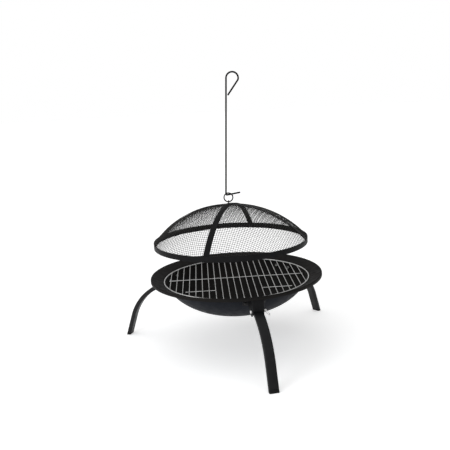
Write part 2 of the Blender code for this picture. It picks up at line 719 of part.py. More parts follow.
def poker_line():
    """From the hook's tip, through the bend and up the rod, round the handle loop."""
    reach = Vector(HOOK_REACH)
    away = reach.normalized()
    up = Vector((math.sin(POKER_LEAN), 0.0, math.cos(POKER_LEAN)))
    across = Vector((math.cos(POKER_LEAN), 0.0, -math.sin(POKER_LEAN)))
    corner = -away * HOOK_BEFORE_RING
    points = [corner + reach, corner + reach * 0.6, corner + reach * 0.3]
    points += bend(corner, -away, up, POKER_BEND)
    rod_top = corner + up * POKER_ROD
    points += [corner + up * (POKER_ROD * part) for part in (0.25, 0.5, 0.75)]
    points.append(rod_top)
    loop = rod_top + up * HANDLE_HEIGHT + across * HANDLE_RADIUS
    points += [loop - across * (HANDLE_RADIUS * math.cos(math.radians(angle)))
               + up * (HANDLE_RADIUS * math.sin(math.radians(angle))) for angle in range(0, 196, 15)]
    end = rod_top + across * (POKER_WIRE + HANDLE_GAP) + up * 0.006
    points.append(points[-1].lerp(end, 0.5))
    points.append(end)
    return points


def make_poker():
    """Hooked poker, its hook arm under the top of the ring."""
    hinge = new_empty("poker_hinge", held, (0.0, 0.0, HOOK_HEIGHT))
    poker = wire("poker", [tuple(point) for point in poker_line()], POKER_WIRE, sides=3)
    place(poker, hinge, black)


clear_scene()
parts = new_collection("fire_pit")
cutters = new_collection("cutters")
paint = new_material("charcoal_paint", (0.030, 0.031, 0.034), 0.0, 0.55)
satin = new_material("satin_black", (0.018, 0.018, 0.019), 0.0, 0.42)
black = new_material("black_coating", (0.020, 0.020, 0.021), 0.0, 0.40)
bolt_black = new_material("bolt_black", (0.05, 0.05, 0.05), 0.6, 0.40)
plastic = new_material("foot_plastic", (0.012, 0.012, 0.012), 0.0, 0.60)
steel = new_material("chromed_wire", (0.62, 0.63, 0.64), 1.0, 0.25)
zinc = new_material("zinc_plate", (0.60, 0.60, 0.58), 1.0, 0.35)
bright = new_material("bright_steel", (0.72, 0.72, 0.72), 1.0, 0.22)
mesh_grey = new_material("lid_mesh", (0.12, 0.12, 0.12), 0.0, 0.45)

pit = new_empty("fire_pit_axis", location=(0.0, AXIS_Y, 0.0))
grate_frame = new_empty("grate_frame", pit, (0.0, 0.0, GRATE_HEIGHT), (0.0, 0.0, GRATE_TURN))
lid_turn = new_empty("lid_turn", pit, rotation=(0.0, 0.0, HELD_TURN))
held = new_empty("held_frame", lid_turn, (LID_OFFSET, 0.0, 0.0))
lid = new_empty("lid_frame", held, rotation=(0.0, 0.0, -HELD_TURN))
eye_hole = place_cutter(bar("eye_hole", EYE_HOLE_RADIUS, 0.04, segments=16), held,
                        (0.0, 0.0, STRAP_CROSSING))

fire_bowl = make_bowl()
make_grate()
stations = [new_empty(f"leg_station_{number}", pit, rotation=(0.0, 0.0, azimuth))
            for number, azimuth in enumerate(LEG_AZIMUTHS, 1)]
for number, station in enumerate(stations, 1):
    bracket = make_bracket(number, station)
    make_bolts(fire_bowl, bracket, number, station)
    make_pin(number, station)
    make_split_ring(number, station)
make_legs(stations)
make_band()
make_dome()
make_strap("lid_strap_lower", STRAP_AZIMUTH, 0.0)
make_strap("lid_strap_upper", STRAP_AZIMUTH + math.radians(90.0), STRAP_DEPTH + GAP)
make_eye_bolt()
make_lift_ring()
make_poker()
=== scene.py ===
import json
import math

import bmesh
import bpy
import numpy as np
from mathutils import Matrix, Vector


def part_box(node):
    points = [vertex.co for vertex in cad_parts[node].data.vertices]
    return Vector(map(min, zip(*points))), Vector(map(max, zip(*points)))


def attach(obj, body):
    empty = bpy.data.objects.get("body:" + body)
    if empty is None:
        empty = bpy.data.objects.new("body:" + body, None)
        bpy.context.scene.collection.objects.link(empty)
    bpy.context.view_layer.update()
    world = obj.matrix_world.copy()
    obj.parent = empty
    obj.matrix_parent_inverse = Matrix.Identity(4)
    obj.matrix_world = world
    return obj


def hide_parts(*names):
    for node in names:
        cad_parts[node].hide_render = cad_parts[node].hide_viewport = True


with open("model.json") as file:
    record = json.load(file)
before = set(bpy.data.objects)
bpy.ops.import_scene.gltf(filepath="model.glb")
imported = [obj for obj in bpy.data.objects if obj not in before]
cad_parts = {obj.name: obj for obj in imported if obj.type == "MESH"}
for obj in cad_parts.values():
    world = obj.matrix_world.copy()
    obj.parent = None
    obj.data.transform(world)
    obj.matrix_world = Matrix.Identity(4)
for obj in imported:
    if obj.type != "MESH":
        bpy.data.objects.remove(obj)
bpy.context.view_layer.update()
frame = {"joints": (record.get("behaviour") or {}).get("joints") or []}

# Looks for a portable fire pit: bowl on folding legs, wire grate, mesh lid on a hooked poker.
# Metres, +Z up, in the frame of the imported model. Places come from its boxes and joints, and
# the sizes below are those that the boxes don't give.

# Bowl
SHEET = 0.0012
RIM_LIP = 0.0113
MOUTH_RADIUS = 0.244
MOUTH_DROP = 0.0155
LEDGE_DEPTH = 0.0035
WALL_RADIUS = 0.243             # half axes and middle height of the elliptical wall
WALL_HALF_HEIGHT = 0.150
WALL_MIDDLE = 0.260
FLAT_RADIUS = 0.060

# Grate
GRATE_TURN = math.radians(-9.9)
GRATE_RING_WIRE = 0.0036
GRATE_BAR_WIRE = 0.0022
GRATE_BARS = 22
GRATE_PITCH = 0.02068
GRATE_DROP = 0.0167             # middle of the ring, below the top of the rim
GRATE_SHORT_PLACE = 0.56        # row of the short cross wires, as a part of the radius
GRATE_SHORT_SIDE = 5.8          # their middles and length, in pitches of the bars
GRATE_SHORT_LENGTH = 4.5
GRATE_BAR_RISE = 0.0004         # middle of the bars, above the middle of the ring
GRATE_WELD_SINK = 0.0006        # how far crossing wires are pressed into each other
NUGGET_RADIUS = 0.00155

# Legs and brackets
LEG_WIDTH = 0.030
LEG_DEPTH = 0.014
LEG_WALL = 0.0015
LEG_CORNER = 0.0035
LEG_TOP_SLOPE = math.radians(15.6)
LEG_FOOT_SLOPE = math.radians(71.5)
LEG_BEND_RADIUS = 0.184
LEG_BEND_START = (0.2594, 0.1903)
LEG_TOP_END = 0.0115
LEG_TUBE_FOOT = 0.008
BRACKET_WIDTH = 0.036
BRACKET_PLATE = 0.002
BRACKET_WEB_RADIUS = 0.277
BRACKET_WEB_BOTTOM = 0.1932
BRACKET_EAR_RADIUS = 0.016
SADDLE_GAP = 0.0007
SADDLE_TOP = 0.2195
SADDLE_BOTTOM = 0.2000
SADDLE_ARC = 18.0
WELD_DEPTH = 0.0013

# Fasteners
BOLT_HEIGHT = 0.2105
BOLT_AZIMUTH = math.radians(7.0)
BOLT_RADIUS = 0.0025
BOLT_HEAD_RADIUS = 0.0048
BOLT_LENGTH = 0.0105
BOLT_OUTSIDE = 0.0035           # seat of the head and of the nut, from the bowl's wall
NUT_INSIDE = 0.0023
NUT_RADIUS = 0.0046
NUT_HEIGHT = 0.004
PIN_RADIUS = 0.004
LEG_BORE_RADIUS = 0.0044
EAR_BORE_RADIUS = 0.0043
THROUGH = 0.03                  # half length of a cutter that passes right through a leg or bracket
PIN_HEAD_RADIUS = 0.0068
PIN_END = 0.0270
RING_HOLE_RADIUS = 0.0018
SPLIT_RING_RADIUS = 0.0125
SPLIT_RING_WIRE = 0.0018
SPLIT_RING_HANG = math.radians(48.0)
SPLIT_RING_TURNS = 1.97
SPLIT_RING_START = 0.6
SPLIT_RING_CROSSOVER = 26.0     # how sharply one turn steps over to the next

# Lid
BAND_FLANGE = 0.006
DOME_RADIUS = 0.248
DOME_HEIGHT = 0.1105
DOME_SKIRT = 0.007
MESH_PITCH = 0.0075
MESH_WIRE = 0.0011
STRAP_WIDTH = 0.0195
STRAP_DEPTH = 0.0014
STRAP_AZIMUTH = math.radians(-29.6)
STRAP_GAP = 0.0003
CROSSING_START = math.radians(2.4)
CROSSING_END = math.radians(6.4)
EYE_RADIUS = 0.0042
EYE_WIRE = 0.0030
EYE_SHANK_RADIUS = 0.002
LIFT_RING_RADIUS = 0.0143
LIFT_RING_WIRE = 0.0040

# Poker
POKER_WIRE = 0.0054
POKER_LEAN = math.radians(2.9)
POKER_ROD = 0.312
POKER_BEND = 0.0045
HOOK_REACH = Vector((0.0452, 0.0319, 0.002))
HOOK_BEFORE_RING = 0.0092
HANDLE_RADIUS = 0.019
HANDLE_HEIGHT = 0.0578
HANDLE_GAP = 0.0008

# Looks and light
PAINT_SHINE = 0.06              # specular level of paint and powder coat
PLASTIC_SHINE = 0.15
ROOM_FRONT = 0.10               # light from the room, in front of the pit and behind it
ROOM_BACK = 0.55
FLOOR_GLOW = 0.42
SKY_PLACE = (-1.6, -1.4, 3.2)
SKY_STRENGTH = 1.65
SKY_SPREAD = math.radians(120.0)
WINDOW_PLACE = (-2.0, -1.7, 1.3)
WINDOW_SIZE = 1.0
WINDOW_POWER = 20.0
WINDOW_COLOUR = (0.92, 0.96, 1.0)
AIM_HEIGHT = 0.25

QUARTER = math.radians(90.0)

# Places read from the frame
joints = {joint["name"]: joint for joint in frame["joints"]}
bowl_low, bowl_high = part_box("fire_bowl")
grate_low, grate_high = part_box("cooking_grate")
band_low, band_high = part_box("lid_band")
AXIS = Vector(((bowl_low.x + bowl_high.x) / 2.0, (bowl_low.y + bowl_high.y) / 2.0, 0.0))
RIM_RADIUS = (bowl_high.x - bowl_low.x) / 2.0
RIM_TOP = bowl_high.z
GRATE_RADIUS = (grate_high.x - grate_low.x) / 2.0 - GRATE_RING_WIRE / 2.0
GRATE_HEIGHT = RIM_TOP - GRATE_DROP
LID_AXIS = Vector(((band_low.x + band_high.x) / 2.0, (band_low.y + band_high.y) / 2.0, 0.0))
BAND_RADIUS = (band_high.x - band_low.x) / 2.0
DOME_SPHERE = (DOME_RADIUS ** 2 + DOME_HEIGHT ** 2) / (2.0 * DOME_HEIGHT)
DOME_MIDDLE = band_high.z + DOME_HEIGHT - DOME_SPHERE
HALF_ANGLE = math.asin(DOME_RADIUS / DOME_SPHERE)
RING_PIVOT = Vector(joints["lift_ring_swing"]["pos_m"])
HOOK_PLACE = Vector(joints["poker_swing"]["pos_m"])
HELD_AXIS = Vector(joints["lift_ring_swing"]["axis"])
HELD_TURN = math.atan2(HELD_AXIS.y, HELD_AXIS.x)

# Camera, from the photograph's viewing angle
CAMERA_DISTANCE = 2.0697
CAMERA_HEIGHT = 0.8209
CAMERA_YAW = -0.013
CAMERA_PITCH = -0.200
CAMERA_ROLL = -0.052
CAMERA_LENS = 51.57
SHIFT = 0.0011


# Shapes

def new_mesh(name, vertices, faces, angle=35.0):
    mesh = bpy.data.meshes.new(name)
    mesh.from_pydata([tuple(point) for point in vertices], [], faces)
    mesh.validate()
    mesh.shade_smooth()
    mesh.set_sharp_from_angle(angle=math.radians(angle))
    return mesh


def new_piece(name, data):
    piece = bpy.data.objects.new(name, data)
    bpy.context.scene.collection.objects.link(piece)
    return piece


def shaped(name, shape, angle=35.0):
    """A piece made from a shape's vertices and faces."""
    return new_piece(name, new_mesh(name, *shape, angle=angle))


def joined(shapes):
    """Vertices and faces of several shapes as one."""
    vertices = []
    faces = []
    for points, polygons in shapes:
        first = len(vertices)
        vertices.extend(points)
        faces.extend([tuple(first + index for index in polygon) for polygon in polygons])
    return vertices, faces


def lathe(profile, steps=180, closed=False):
    """Turns (radius, height) points about Z. Points on the axis become one vertex."""
    vertices = []
    rows = []
    for radius, height in profile:
        if radius < 1e-6:
            rows.append([len(vertices)] * steps)
            vertices.append((0.0, 0.0, height))
            continue
        rows.append(list(range(len(vertices), len(vertices) + steps)))
        for step in range(steps):
            angle = 2.0 * math.pi * step / steps
            vertices.append((radius * math.cos(angle), radius * math.sin(angle), height))
    pairs = list(zip(rows, rows[1:]))
    if closed:
        pairs.append((rows[-1], rows[0]))
    faces = []
    for upper, lower in pairs:
        for step in range(steps):
            after = (step + 1) % steps
            corners = [upper[step], lower[step], lower[after], upper[after]]
            face = tuple(dict.fromkeys(corners))
            if len(face) > 2:
                faces.append(face)
    return vertices, faces


def filleted(points, radius, steps=5, closed=False):
    """Rounds the corners of a flat line of points."""
    line = [Vector(point) for point in points]
    count = len(line)
    out = []
    for index, corner in enumerate(line):
        if not closed and index in (0, count - 1):
            out.append(tuple(corner))
            continue
        before = line[index - 1] - corner
        after = line[(index + 1) % count] - corner
        turn = math.pi - before.angle(after)
        reach = min(radius * math.tan(turn / 2.0), 0.45 * before.length, 0.45 * after.length)
        if turn < math.radians(4.0):
            out.append(tuple(corner))
            continue
        start = corner + before.normalized() * reach
        end = corner + after.normalized() * reach
        for step in range(steps + 1):
            t = step / steps
            point = start * (1.0 - t) ** 2 + corner * (2.0 * t * (1.0 - t)) + end * t ** 2
            out.append(tuple(point))
    return out


def arc(middle, radius, start, end, steps):
    return [(middle[0] + radius * math.cos(start + (end - start) * step / steps),
             middle[1] + radius * math.sin(start + (end - start) * step / steps))
            for step in range(steps + 1)]


def tube(points, radius, sides=16, closed=False, swell=None, domed=True):
    """A round wire along points, with domed ends. Swell gives each point a factor."""
    line = np.array([tuple(point) for point in points], float)
    count = len(line)
    if closed:
        tangents = np.roll(line, -1, 0) - np.roll(line, 1, 0)
    else:
        tangents = np.gradient(line, axis=0)
    tangents /= np.linalg.norm(tangents, axis=1, keepdims=True)
    side = np.cross(tangents[0], (0.0, 0.0, 1.0) if abs(tangents[0][2]) < 0.9 else (0.0, 1.0, 0.0))
    side /= np.linalg.norm(side)
    scale = np.ones(count) if swell is None else np.array(swell, float)
    rings = []
    for place, tangent, factor in zip(line, tangents, scale):
        side = side - tangent * side.dot(tangent)
        side /= np.linalg.norm(side)
        rings.append((place, tangent, side.copy(), factor))
    if not closed and domed:
        rings = dome_ends(rings, radius)
    vertices = []
    for place, tangent, side, factor in rings:
        other = np.cross(tangent, side)
        for step in range(sides):
            angle = 2.0 * math.pi * step / sides
            offset = side * math.cos(angle) + other * math.sin(angle)
            vertices.append(tuple(place + offset * radius * factor))
    return vertices, tube_faces(len(rings), sides, closed)


def dome_ends(rings, radius, steps=3):
    """Adds the shrinking rings that round off both ends of a tube."""
    first_place, first_tangent, first_side, first_factor = rings[0]
    last_place, last_tangent, last_side, last_factor = rings[-1]
    start = []
    end = []
    for step in range(1, steps + 1):
        angle = math.radians(84.0) * step / steps
        shrink = math.cos(angle)
        out = radius * math.sin(angle) * 0.6
        start.insert(0, (first_place - first_tangent * out, first_tangent, first_side,
                         first_factor * shrink))
        end.append((last_place + last_tangent * out, last_tangent, last_side,
                    last_factor * shrink))
    return start + rings + end


def tube_faces(rings, sides, closed):
    faces = []
    for ring in range(rings if closed else rings - 1):
        first = ring * sides
        second = ((ring + 1) % rings) * sides
        for step in range(sides):
            after = (step + 1) % sides
            faces.append((first + step, first + after, second + after, second + step))
    if not closed:
        faces.append(tuple(reversed(range(sides))))
        faces.append(tuple(range((rings - 1) * sides, rings * sides)))
    return faces


def circle(radius, steps, matrix=Matrix.Identity(4)):
    """Points round a circle in the XY plane, carried by a matrix."""
    return [matrix @ Vector((radius * math.cos(2.0 * math.pi * step / steps),
                             radius * math.sin(2.0 * math.pi * step / steps), 0.0))
            for step in range(steps)]


def moved(shape, matrix):
    vertices, faces = shape
    return [tuple(matrix @ Vector(point)) for point in vertices], faces


def prism(outline, low, high):
    """A flat outline in XY given a height along Z. The outline runs anticlockwise."""
    count = len(outline)
    vertices = [(x, y, low) for x, y in outline] + [(x, y, high) for x, y in outline]
    faces = [tuple(reversed(range(count))), tuple(range(count, 2 * count))]
    for index in range(count):
        after = (index + 1) % count
        faces.append((index, after, count + after, count + index))
    return vertices, faces


def block(low, high):
    outline = [(low[0], low[1]), (high[0], low[1]), (high[0], high[1]), (low[0], high[1])]
    return prism(outline, low[2], high[2])


def round_bar(radius, half, sides=24):
    """A round bar along Z, centred on its origin."""
    outline = arc((0.0, 0.0), radius, 0.0, 2.0 * math.pi * (sides - 1) / sides, sides - 1)
    return prism(outline, -half, half)


def carved(piece, shape, operation="DIFFERENCE"):
    """Applies a Boolean with a closed shape, which is cut away unless another one is named."""
    merge(piece, shaped("helper", shape), operation)


def merge(piece, other, operation="UNION"):
    """Applies a Boolean with another piece, which is used up."""
    boolean = piece.modifiers.new("Boolean", "BOOLEAN")
    boolean.operation = operation
    boolean.solver = "EXACT"
    boolean.object = other
    applied(piece)
    bpy.data.objects.remove(other, do_unlink=True)


def applied(piece, angle=35.0):
    """Replaces a piece's mesh with the result of its modifiers."""
    bpy.context.view_layer.update()
    graph = bpy.context.evaluated_depsgraph_get()
    mesh = bpy.data.meshes.new_from_object(piece.evaluated_get(graph))
    piece.modifiers.clear()
    piece.data = mesh
    mesh.shade_smooth()
    mesh.set_sharp_from_angle(angle=math.radians(angle))


def softened(piece, width, segments=2, angle=40.0):
    """Rounds the sharp edges of a piece."""
    bevel = piece.modifiers.new("Edges", "BEVEL")
    bevel.width = width
    bevel.segments = segments
    bevel.limit_method = "ANGLE"
    bevel.angle_limit = math.radians(angle)
    bevel.harden_normals = False
    applied(piece)


def weld_bead(points, radius):
    """A line of overlapping weld nuggets."""
    ripple = 0.0016
    spacing = 0.0004
    line = [Vector(point) for point in points]
    samples = []
    for start, end in zip(line, line[1:]):
        steps = max(2, round((end - start).length / spacing))
        samples += [start.lerp(end, step / steps) for step in range(steps)]
    samples.append(line[-1])
    swell = [0.82 + 0.22 * abs(math.sin(math.pi * index * spacing / ripple))
             for index in range(len(samples))]
    return tube(samples, radius, 8, swell=swell)


# Materials

def new_node(tree, kind, values=None, **settings):
    """Adds a node with its settings and the values of its inputs."""
    node = tree.nodes.new(kind)
    for name, value in settings.items():
        setattr(node, name, value)
    for name, value in (values or {}).items():
        node.inputs[name].default_value = value
    return node


class Nodes:
    """Adds nodes to a material and joins them."""

    def __init__(self, name):
        self.material = bpy.data.materials.new(name)
        self.material.use_nodes = True
        self.tree = self.material.node_tree
        self.shader = self.tree.nodes["Principled BSDF"]
        self.place = self.add("ShaderNodeTexCoord").outputs["Object"]

    def add(self, kind, values=None, **settings):
        return new_node(self.tree, kind, values, **settings)

    def link(self, output, target):
        self.tree.links.new(output, target)

    def noise(self, scale, detail=3.0, roughness=0.5):
        values = {"Scale": scale, "Detail": detail, "Roughness": roughness}
        node = self.add("ShaderNodeTexNoise", values)
        self.link(self.place, node.inputs["Vector"])
        return node.outputs["Fac"]

    def grains(self, scale):
        node = self.add("ShaderNodeTexVoronoi", {"Scale": scale}, feature="F1")
        self.link(self.place, node.inputs["Vector"])
        return node.outputs["Distance"]

    def spread(self, value, low, high, to_low=0.0, to_high=1.0):
        """Stretches the part of a value between low and high over a new range."""
        values = {"From Min": low, "From Max": high, "To Min": to_low, "To Max": to_high}
        node = self.add("ShaderNodeMapRange", values, interpolation_type="SMOOTHSTEP")
        self.link(value, node.inputs["Value"])
        return node.outputs["Result"]

    def patches(self, scale, detail, low, high):
        """Soft patches with values between low and high."""
        return self.spread(self.noise(scale, detail), 0.3, 0.7, low, high)

    def height(self):
        node = self.add("ShaderNodeSeparateXYZ")
        self.link(self.place, node.inputs["Vector"])
        return node.outputs["Z"]

    def mix(self, factor, first, second):
        """Mixes two colours, each a colour or an output."""
        node = self.add("ShaderNodeMix", data_type="RGBA")
        self.link(factor, node.inputs["Factor"])
        for socket, value in ((node.inputs[6], first), (node.inputs[7], second)):
            if isinstance(value, tuple):
                socket.default_value = (*value, 1.0)
            else:
                self.link(value, socket)
        return node.outputs[2]

    def multiply(self, first, second):
        node = self.add("ShaderNodeMath", operation="MULTIPLY")
        self.link(first, node.inputs[0])
        self.link(second, node.inputs[1])
        return node.outputs[0]

    def total(self, first, second, weight):
        """First plus weight times second."""
        node = self.add("ShaderNodeMath", operation="MULTIPLY_ADD")
        self.link(second, node.inputs[0])
        node.inputs[1].default_value = weight
        self.link(first, node.inputs[2])
        return node.outputs[0]

    def bump(self, value, depth, strength=1.0):
        node = self.add("ShaderNodeBump", {"Distance": depth, "Strength": strength})
        self.link(value, node.inputs["Height"])
        self.link(node.outputs["Normal"], self.shader.inputs["Normal"])

    def colour(self, output):
        self.link(output, self.shader.inputs["Base Color"])

    def rough(self, scale, detail, low, high):
        self.link(self.patches(scale, detail, low, high), self.shader.inputs["Roughness"])

    def fixed(self, name, value):
        self.shader.inputs[name].default_value = value


def charcoal_paint(name, base, light, warm):
    """Textured heat-resistant paint: fine grain, lighter specks and slow tone changes."""
    grain = 900.0
    made = Nodes(name)
    tone = made.spread(made.noise(9.0, 4.0), 0.35, 0.68)
    specks = made.spread(made.noise(grain, 2.0, 0.6), 0.58, 0.72)
    body = made.mix(tone, base, warm)
    made.colour(made.mix(specks, body, light))
    made.rough(60.0, 3.0, 0.50, 0.64)
    fine = made.total(made.noise(grain, 2.0), made.noise(260.0, 2.0), 0.6)
    made.bump(fine, 0.00022, 0.55)
    made.fixed("Specular IOR Level", PAINT_SHINE)
    return made.material


def satin_paint(name, base, light, low, high, grain=700.0, shine=PAINT_SHINE):
    """Black powder coat: orange peel, faint rubbed patches."""
    made = Nodes(name)
    rubbed = made.spread(made.noise(38.0, 5.0, 0.62), 0.52, 0.78)
    made.colour(made.mix(rubbed, base, light))
    made.rough(85.0, 4.0, low, high)
    made.bump(made.total(made.noise(grain, 2.0), made.noise(2600.0, 2.0), 0.4), 0.00012, 0.5)
    made.fixed("Specular IOR Level", shine)
    return made.material


def wire_metal(name, base, dull, low, high, stain=(0.35, 0.28, 0.20), stain_from=0.66):
    """Bright drawn wire: slight dulling, fine draw lines, a few heat-brown patches."""
    made = Nodes(name)
    dulled = made.spread(made.noise(45.0, 5.0, 0.6), 0.42, 0.70)
    stained = made.spread(made.noise(14.0, 4.0, 0.6), stain_from, stain_from + 0.16)
    made.colour(made.mix(stained, made.mix(dulled, base, dull), stain))
    made.rough(120.0, 4.0, low, high)
    made.bump(made.noise(1400.0, 3.0), 0.00006, 0.5)
    made.fixed("Metallic", 1.0)
    return made.material


def zinc_metal(name):
    """Zinc plate with a faint crystal pattern."""
    made = Nodes(name)
    tone = made.spread(made.grains(900.0), 0.1, 0.8)
    made.colour(made.mix(tone, (0.62, 0.61, 0.56), (0.48, 0.49, 0.50)))
    made.rough(500.0, 3.0, 0.30, 0.46)
    made.bump(made.noise(1500.0, 2.0), 0.00005, 0.5)
    made.fixed("Metallic", 1.0)
    return made.material


def moulded_plastic(name):
    """Black plastic with a fine moulded grain and a dusty sole."""
    made = Nodes(name)
    dust = made.spread(made.height(), 0.0, 0.003, 0.40, 0.0)
    patchy = made.multiply(dust, made.patches(220.0, 4.0, 0.4, 1.0))
    made.colour(made.mix(patchy, (0.0055, 0.0055, 0.0056), (0.050, 0.046, 0.042)))
    made.rough(400.0, 3.0, 0.52, 0.70)
    made.bump(made.noise(1800.0, 2.0), 0.0001, 0.6)
    made.fixed("Specular IOR Level", PLASTIC_SHINE)
    return made.material


# One charcoal paint in two copies. The blue-black copy is painted cool shade for faces that point
# down, and the warmer, lighter brown-black copy is painted warm light for faces that point up.
BOWL_PAINTED_COOL_SHADE = charcoal_paint("charcoal_paint_painted_cool_shade", (0.0065, 0.0078, 0.0110),
                              (0.020, 0.022, 0.027), (0.0085, 0.0100, 0.0135))
BOWL_PAINTED_WARM_LIGHT = charcoal_paint("charcoal_paint_painted_warm_light", (0.0080, 0.0074, 0.0070),
                             (0.025, 0.023, 0.021), (0.0105, 0.0094, 0.0086))
LEG_BLACK = satin_paint("leg_powder_coat", (0.0056, 0.0057, 0.0064), (0.0110, 0.0110, 0.0122),
                        0.36, 0.50, shine=0.22)
BRACKET_BLACK = satin_paint("bracket_powder_coat", (0.0042, 0.0043, 0.0048),
                            (0.0085, 0.0085, 0.0095), 0.40, 0.54, shine=0.10)
LID_BLACK = satin_paint("lid_satin_paint", (0.0072, 0.0072, 0.0076), (0.0120, 0.0120, 0.0126),
                        0.42, 0.56)
WIRE_BLACK = satin_paint("coated_wire", (0.0030, 0.0030, 0.0031), (0.0070, 0.0068, 0.0066),
                         0.34, 0.48, 1200.0, 0.03)
MESH_BLACK = satin_paint("mesh_wire", (0.030, 0.029, 0.028), (0.065, 0.063, 0.060), 0.40, 0.55,
                         1600.0)
BOLT_BLACK = wire_metal("black_oxide", (0.030, 0.030, 0.031), (0.018, 0.018, 0.018), 0.34, 0.50,
                        (0.05, 0.040, 0.034))
GRATE_STEEL = wire_metal("chromed_wire", (0.88, 0.88, 0.87), (0.72, 0.72, 0.71), 0.26, 0.42)
BRIGHT_STEEL = wire_metal("bright_steel", (0.84, 0.83, 0.82), (0.66, 0.65, 0.64), 0.18, 0.32,
                          stain_from=0.72)
ZINC = zinc_metal("zinc_plate")
PLASTIC = moulded_plastic("moulded_plastic")


def settle(piece, body, material, replaced=()):
    """Puts a piece's place into its own mesh, gives it a material and ties it to the frame."""
    piece.data.transform(piece.matrix_basis)
    piece.matrix_world = Matrix.Identity(4)
    if not piece.data.materials:
        piece.data.materials.append(material)
    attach(piece, body)
    if replaced:
        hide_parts(*replaced)


# Bowl

def wall_radius(height):
    drop = (WALL_MIDDLE - height) / WALL_HALF_HEIGHT
    return WALL_RADIUS * math.sqrt(1.0 - drop * drop)


def wall_slope(height):
    step = 0.001
    return math.atan2(wall_radius(height + step) - wall_radius(height - step), 2.0 * step)


def make_bowl():
    """The pressed bowl: turned-down rim, sloping flange, ledge, deep wall and flat bottom."""
    edge = RIM_RADIUS - SHEET
    top = RIM_TOP - SHEET
    mouth = top - MOUTH_DROP
    ledge = mouth - LEDGE_DEPTH
    shoulder = [(edge, top - RIM_LIP + SHEET), (edge, top), (MOUTH_RADIUS, mouth),
                (MOUTH_RADIUS - 0.0004, ledge)]
    start = math.asin((WALL_MIDDLE - ledge) / WALL_HALF_HEIGHT)
    end = math.acos(FLAT_RADIUS / WALL_RADIUS)
    wall = [(WALL_RADIUS * math.cos(start + (end - start) * step / 30),
             WALL_MIDDLE - WALL_HALF_HEIGHT * math.sin(start + (end - start) * step / 30))
            for step in range(31)]
    profile = filleted(shoulder + wall[:2], 0.0028) + wall[2:]
    profile.append((0.0, wall[-1][1]))
    bowl = shaped("bowl_pressing", lathe(profile, 240), 60.0)
    sheet = bowl.modifiers.new("Sheet", "SOLIDIFY")
    sheet.thickness = SHEET
    sheet.offset = -1.0
    sheet.use_even_offset = True
    applied(bowl, 50.0)
    softened(bowl, 0.00035, 2, 60.0)
    bowl.location = AXIS
    bowl.data.materials.append(BOWL_PAINTED_COOL_SHADE)
    bowl.data.materials.append(BOWL_PAINTED_WARM_LIGHT)
    # Painted light: faces that point up, and the rim's outer edge, take the copy with painted warm
    # light, and faces that point down take the copy with painted cool shade.
    for face in bowl.data.polygons:
        outer_edge = math.hypot(face.center.x, face.center.y) > edge - 0.003
        face.material_index = 1 if face.normal.z > -0.05 or outer_edge else 0
    settle(bowl, "root", None, ["fire_bowl"])


# Grate

def make_grate():
    """Ring, bars and cross wires as drawn wire, with the melted nuggets where they meet."""
    place = Matrix.Translation(AXIS + Vector((0.0, 0.0, GRATE_HEIGHT)))
    turn = place @ Matrix.Rotation(GRATE_TURN, 4, "Z")
    ring = tube(circle(GRATE_RADIUS, 220, turn), GRATE_RING_WIRE / 2.0, 16, closed=True)
    rise = GRATE_BAR_RISE
    under = rise - (GRATE_BAR_WIRE - GRATE_WELD_SINK)
    middle = (GRATE_BARS - 1) / 2.0
    bars = []
    nuggets = []
    for index in range(GRATE_BARS):
        across = (index - middle) * GRATE_PITCH
        half = math.sqrt(GRATE_RADIUS ** 2 - across ** 2)
        bars.append(straight_wire((across, -half, rise), (across, half, rise), turn))
        nuggets += [(across, -half, rise), (across, half, rise), (across, 0.0, under / 2.0)]
    reach = middle * GRATE_PITCH + 0.004
    cross = [straight_wire((-reach, 0.0, under), (reach, 0.0, under), turn)]
    short = GRATE_SHORT_LENGTH * GRATE_PITCH / 2.0
    row = -GRATE_SHORT_PLACE * GRATE_RADIUS
    places = [index - middle for index in range(GRATE_BARS)]
    crossed = [bar for bar in places if abs(bar - GRATE_SHORT_SIDE) < GRATE_SHORT_LENGTH / 2.0]
    for side in (-1.0, 1.0):
        centre = side * GRATE_SHORT_SIDE * GRATE_PITCH
        cross.append(straight_wire((centre - short, row, under), (centre + short, row, under), turn))
        nuggets += [(side * bar * GRATE_PITCH, row, under / 2.0) for bar in crossed]
    pieces = (("grate_ring", [ring]), ("grate_bars", bars), ("grate_cross_wires", cross),
              ("grate_weld_nuggets", [moved(nugget(), turn @ Matrix.Translation(spot))
                                      for spot in nuggets]))
    for name, shapes in pieces:
        piece = shaped(name, joined(shapes), 60.0)
        replaced = ["cooking_grate"] if name == "grate_ring" else ()
        settle(piece, "grate", GRATE_STEEL, replaced)


def straight_wire(start, end, matrix):
    first = Vector(start)
    last = Vector(end)
    line = [matrix @ first.lerp(last, step / 12) for step in range(13)]
    return tube(line, GRATE_BAR_WIRE / 2.0, 12)


def nugget():
    """A small flattened blob of melted metal."""
    profile = [(NUGGET_RADIUS * math.cos(math.radians(angle)),
                0.85 * NUGGET_RADIUS * math.sin(math.radians(angle))) for angle in range(90, -91, -20)]
    profile[0] = (0.0, profile[0][1])
    profile[-1] = (0.0, profile[-1][1])
    return lathe(profile, 12)


# Legs, in a station's frame: X tangential, -Y outwards, Z up

def station_matrix(number):
    """Frame of a leg's station, whose origin is the bowl's axis at the floor."""
    axis = Vector(joints[f"leg_fold_{number}"]["axis"]).normalized()
    turn = math.atan2(axis.y, axis.x)
    return Matrix.Translation(AXIS) @ Matrix.Rotation(turn, 4, "Z")


def pin_place(number):
    """(distance outwards, height) of a leg's hinge."""
    place = Vector(joints[f"leg_fold_{number}"]["pos_m"])
    return (place - AXIS).xy.length, place.z


def pin_matrix(number):
    """A leg's hinge in the frame of its station, with Z along the pin."""
    pin_y, pin_z = pin_place(number)
    return Matrix.Translation((0.0, -pin_y, pin_z)) @ Matrix.Rotation(QUARTER, 4, "Y")


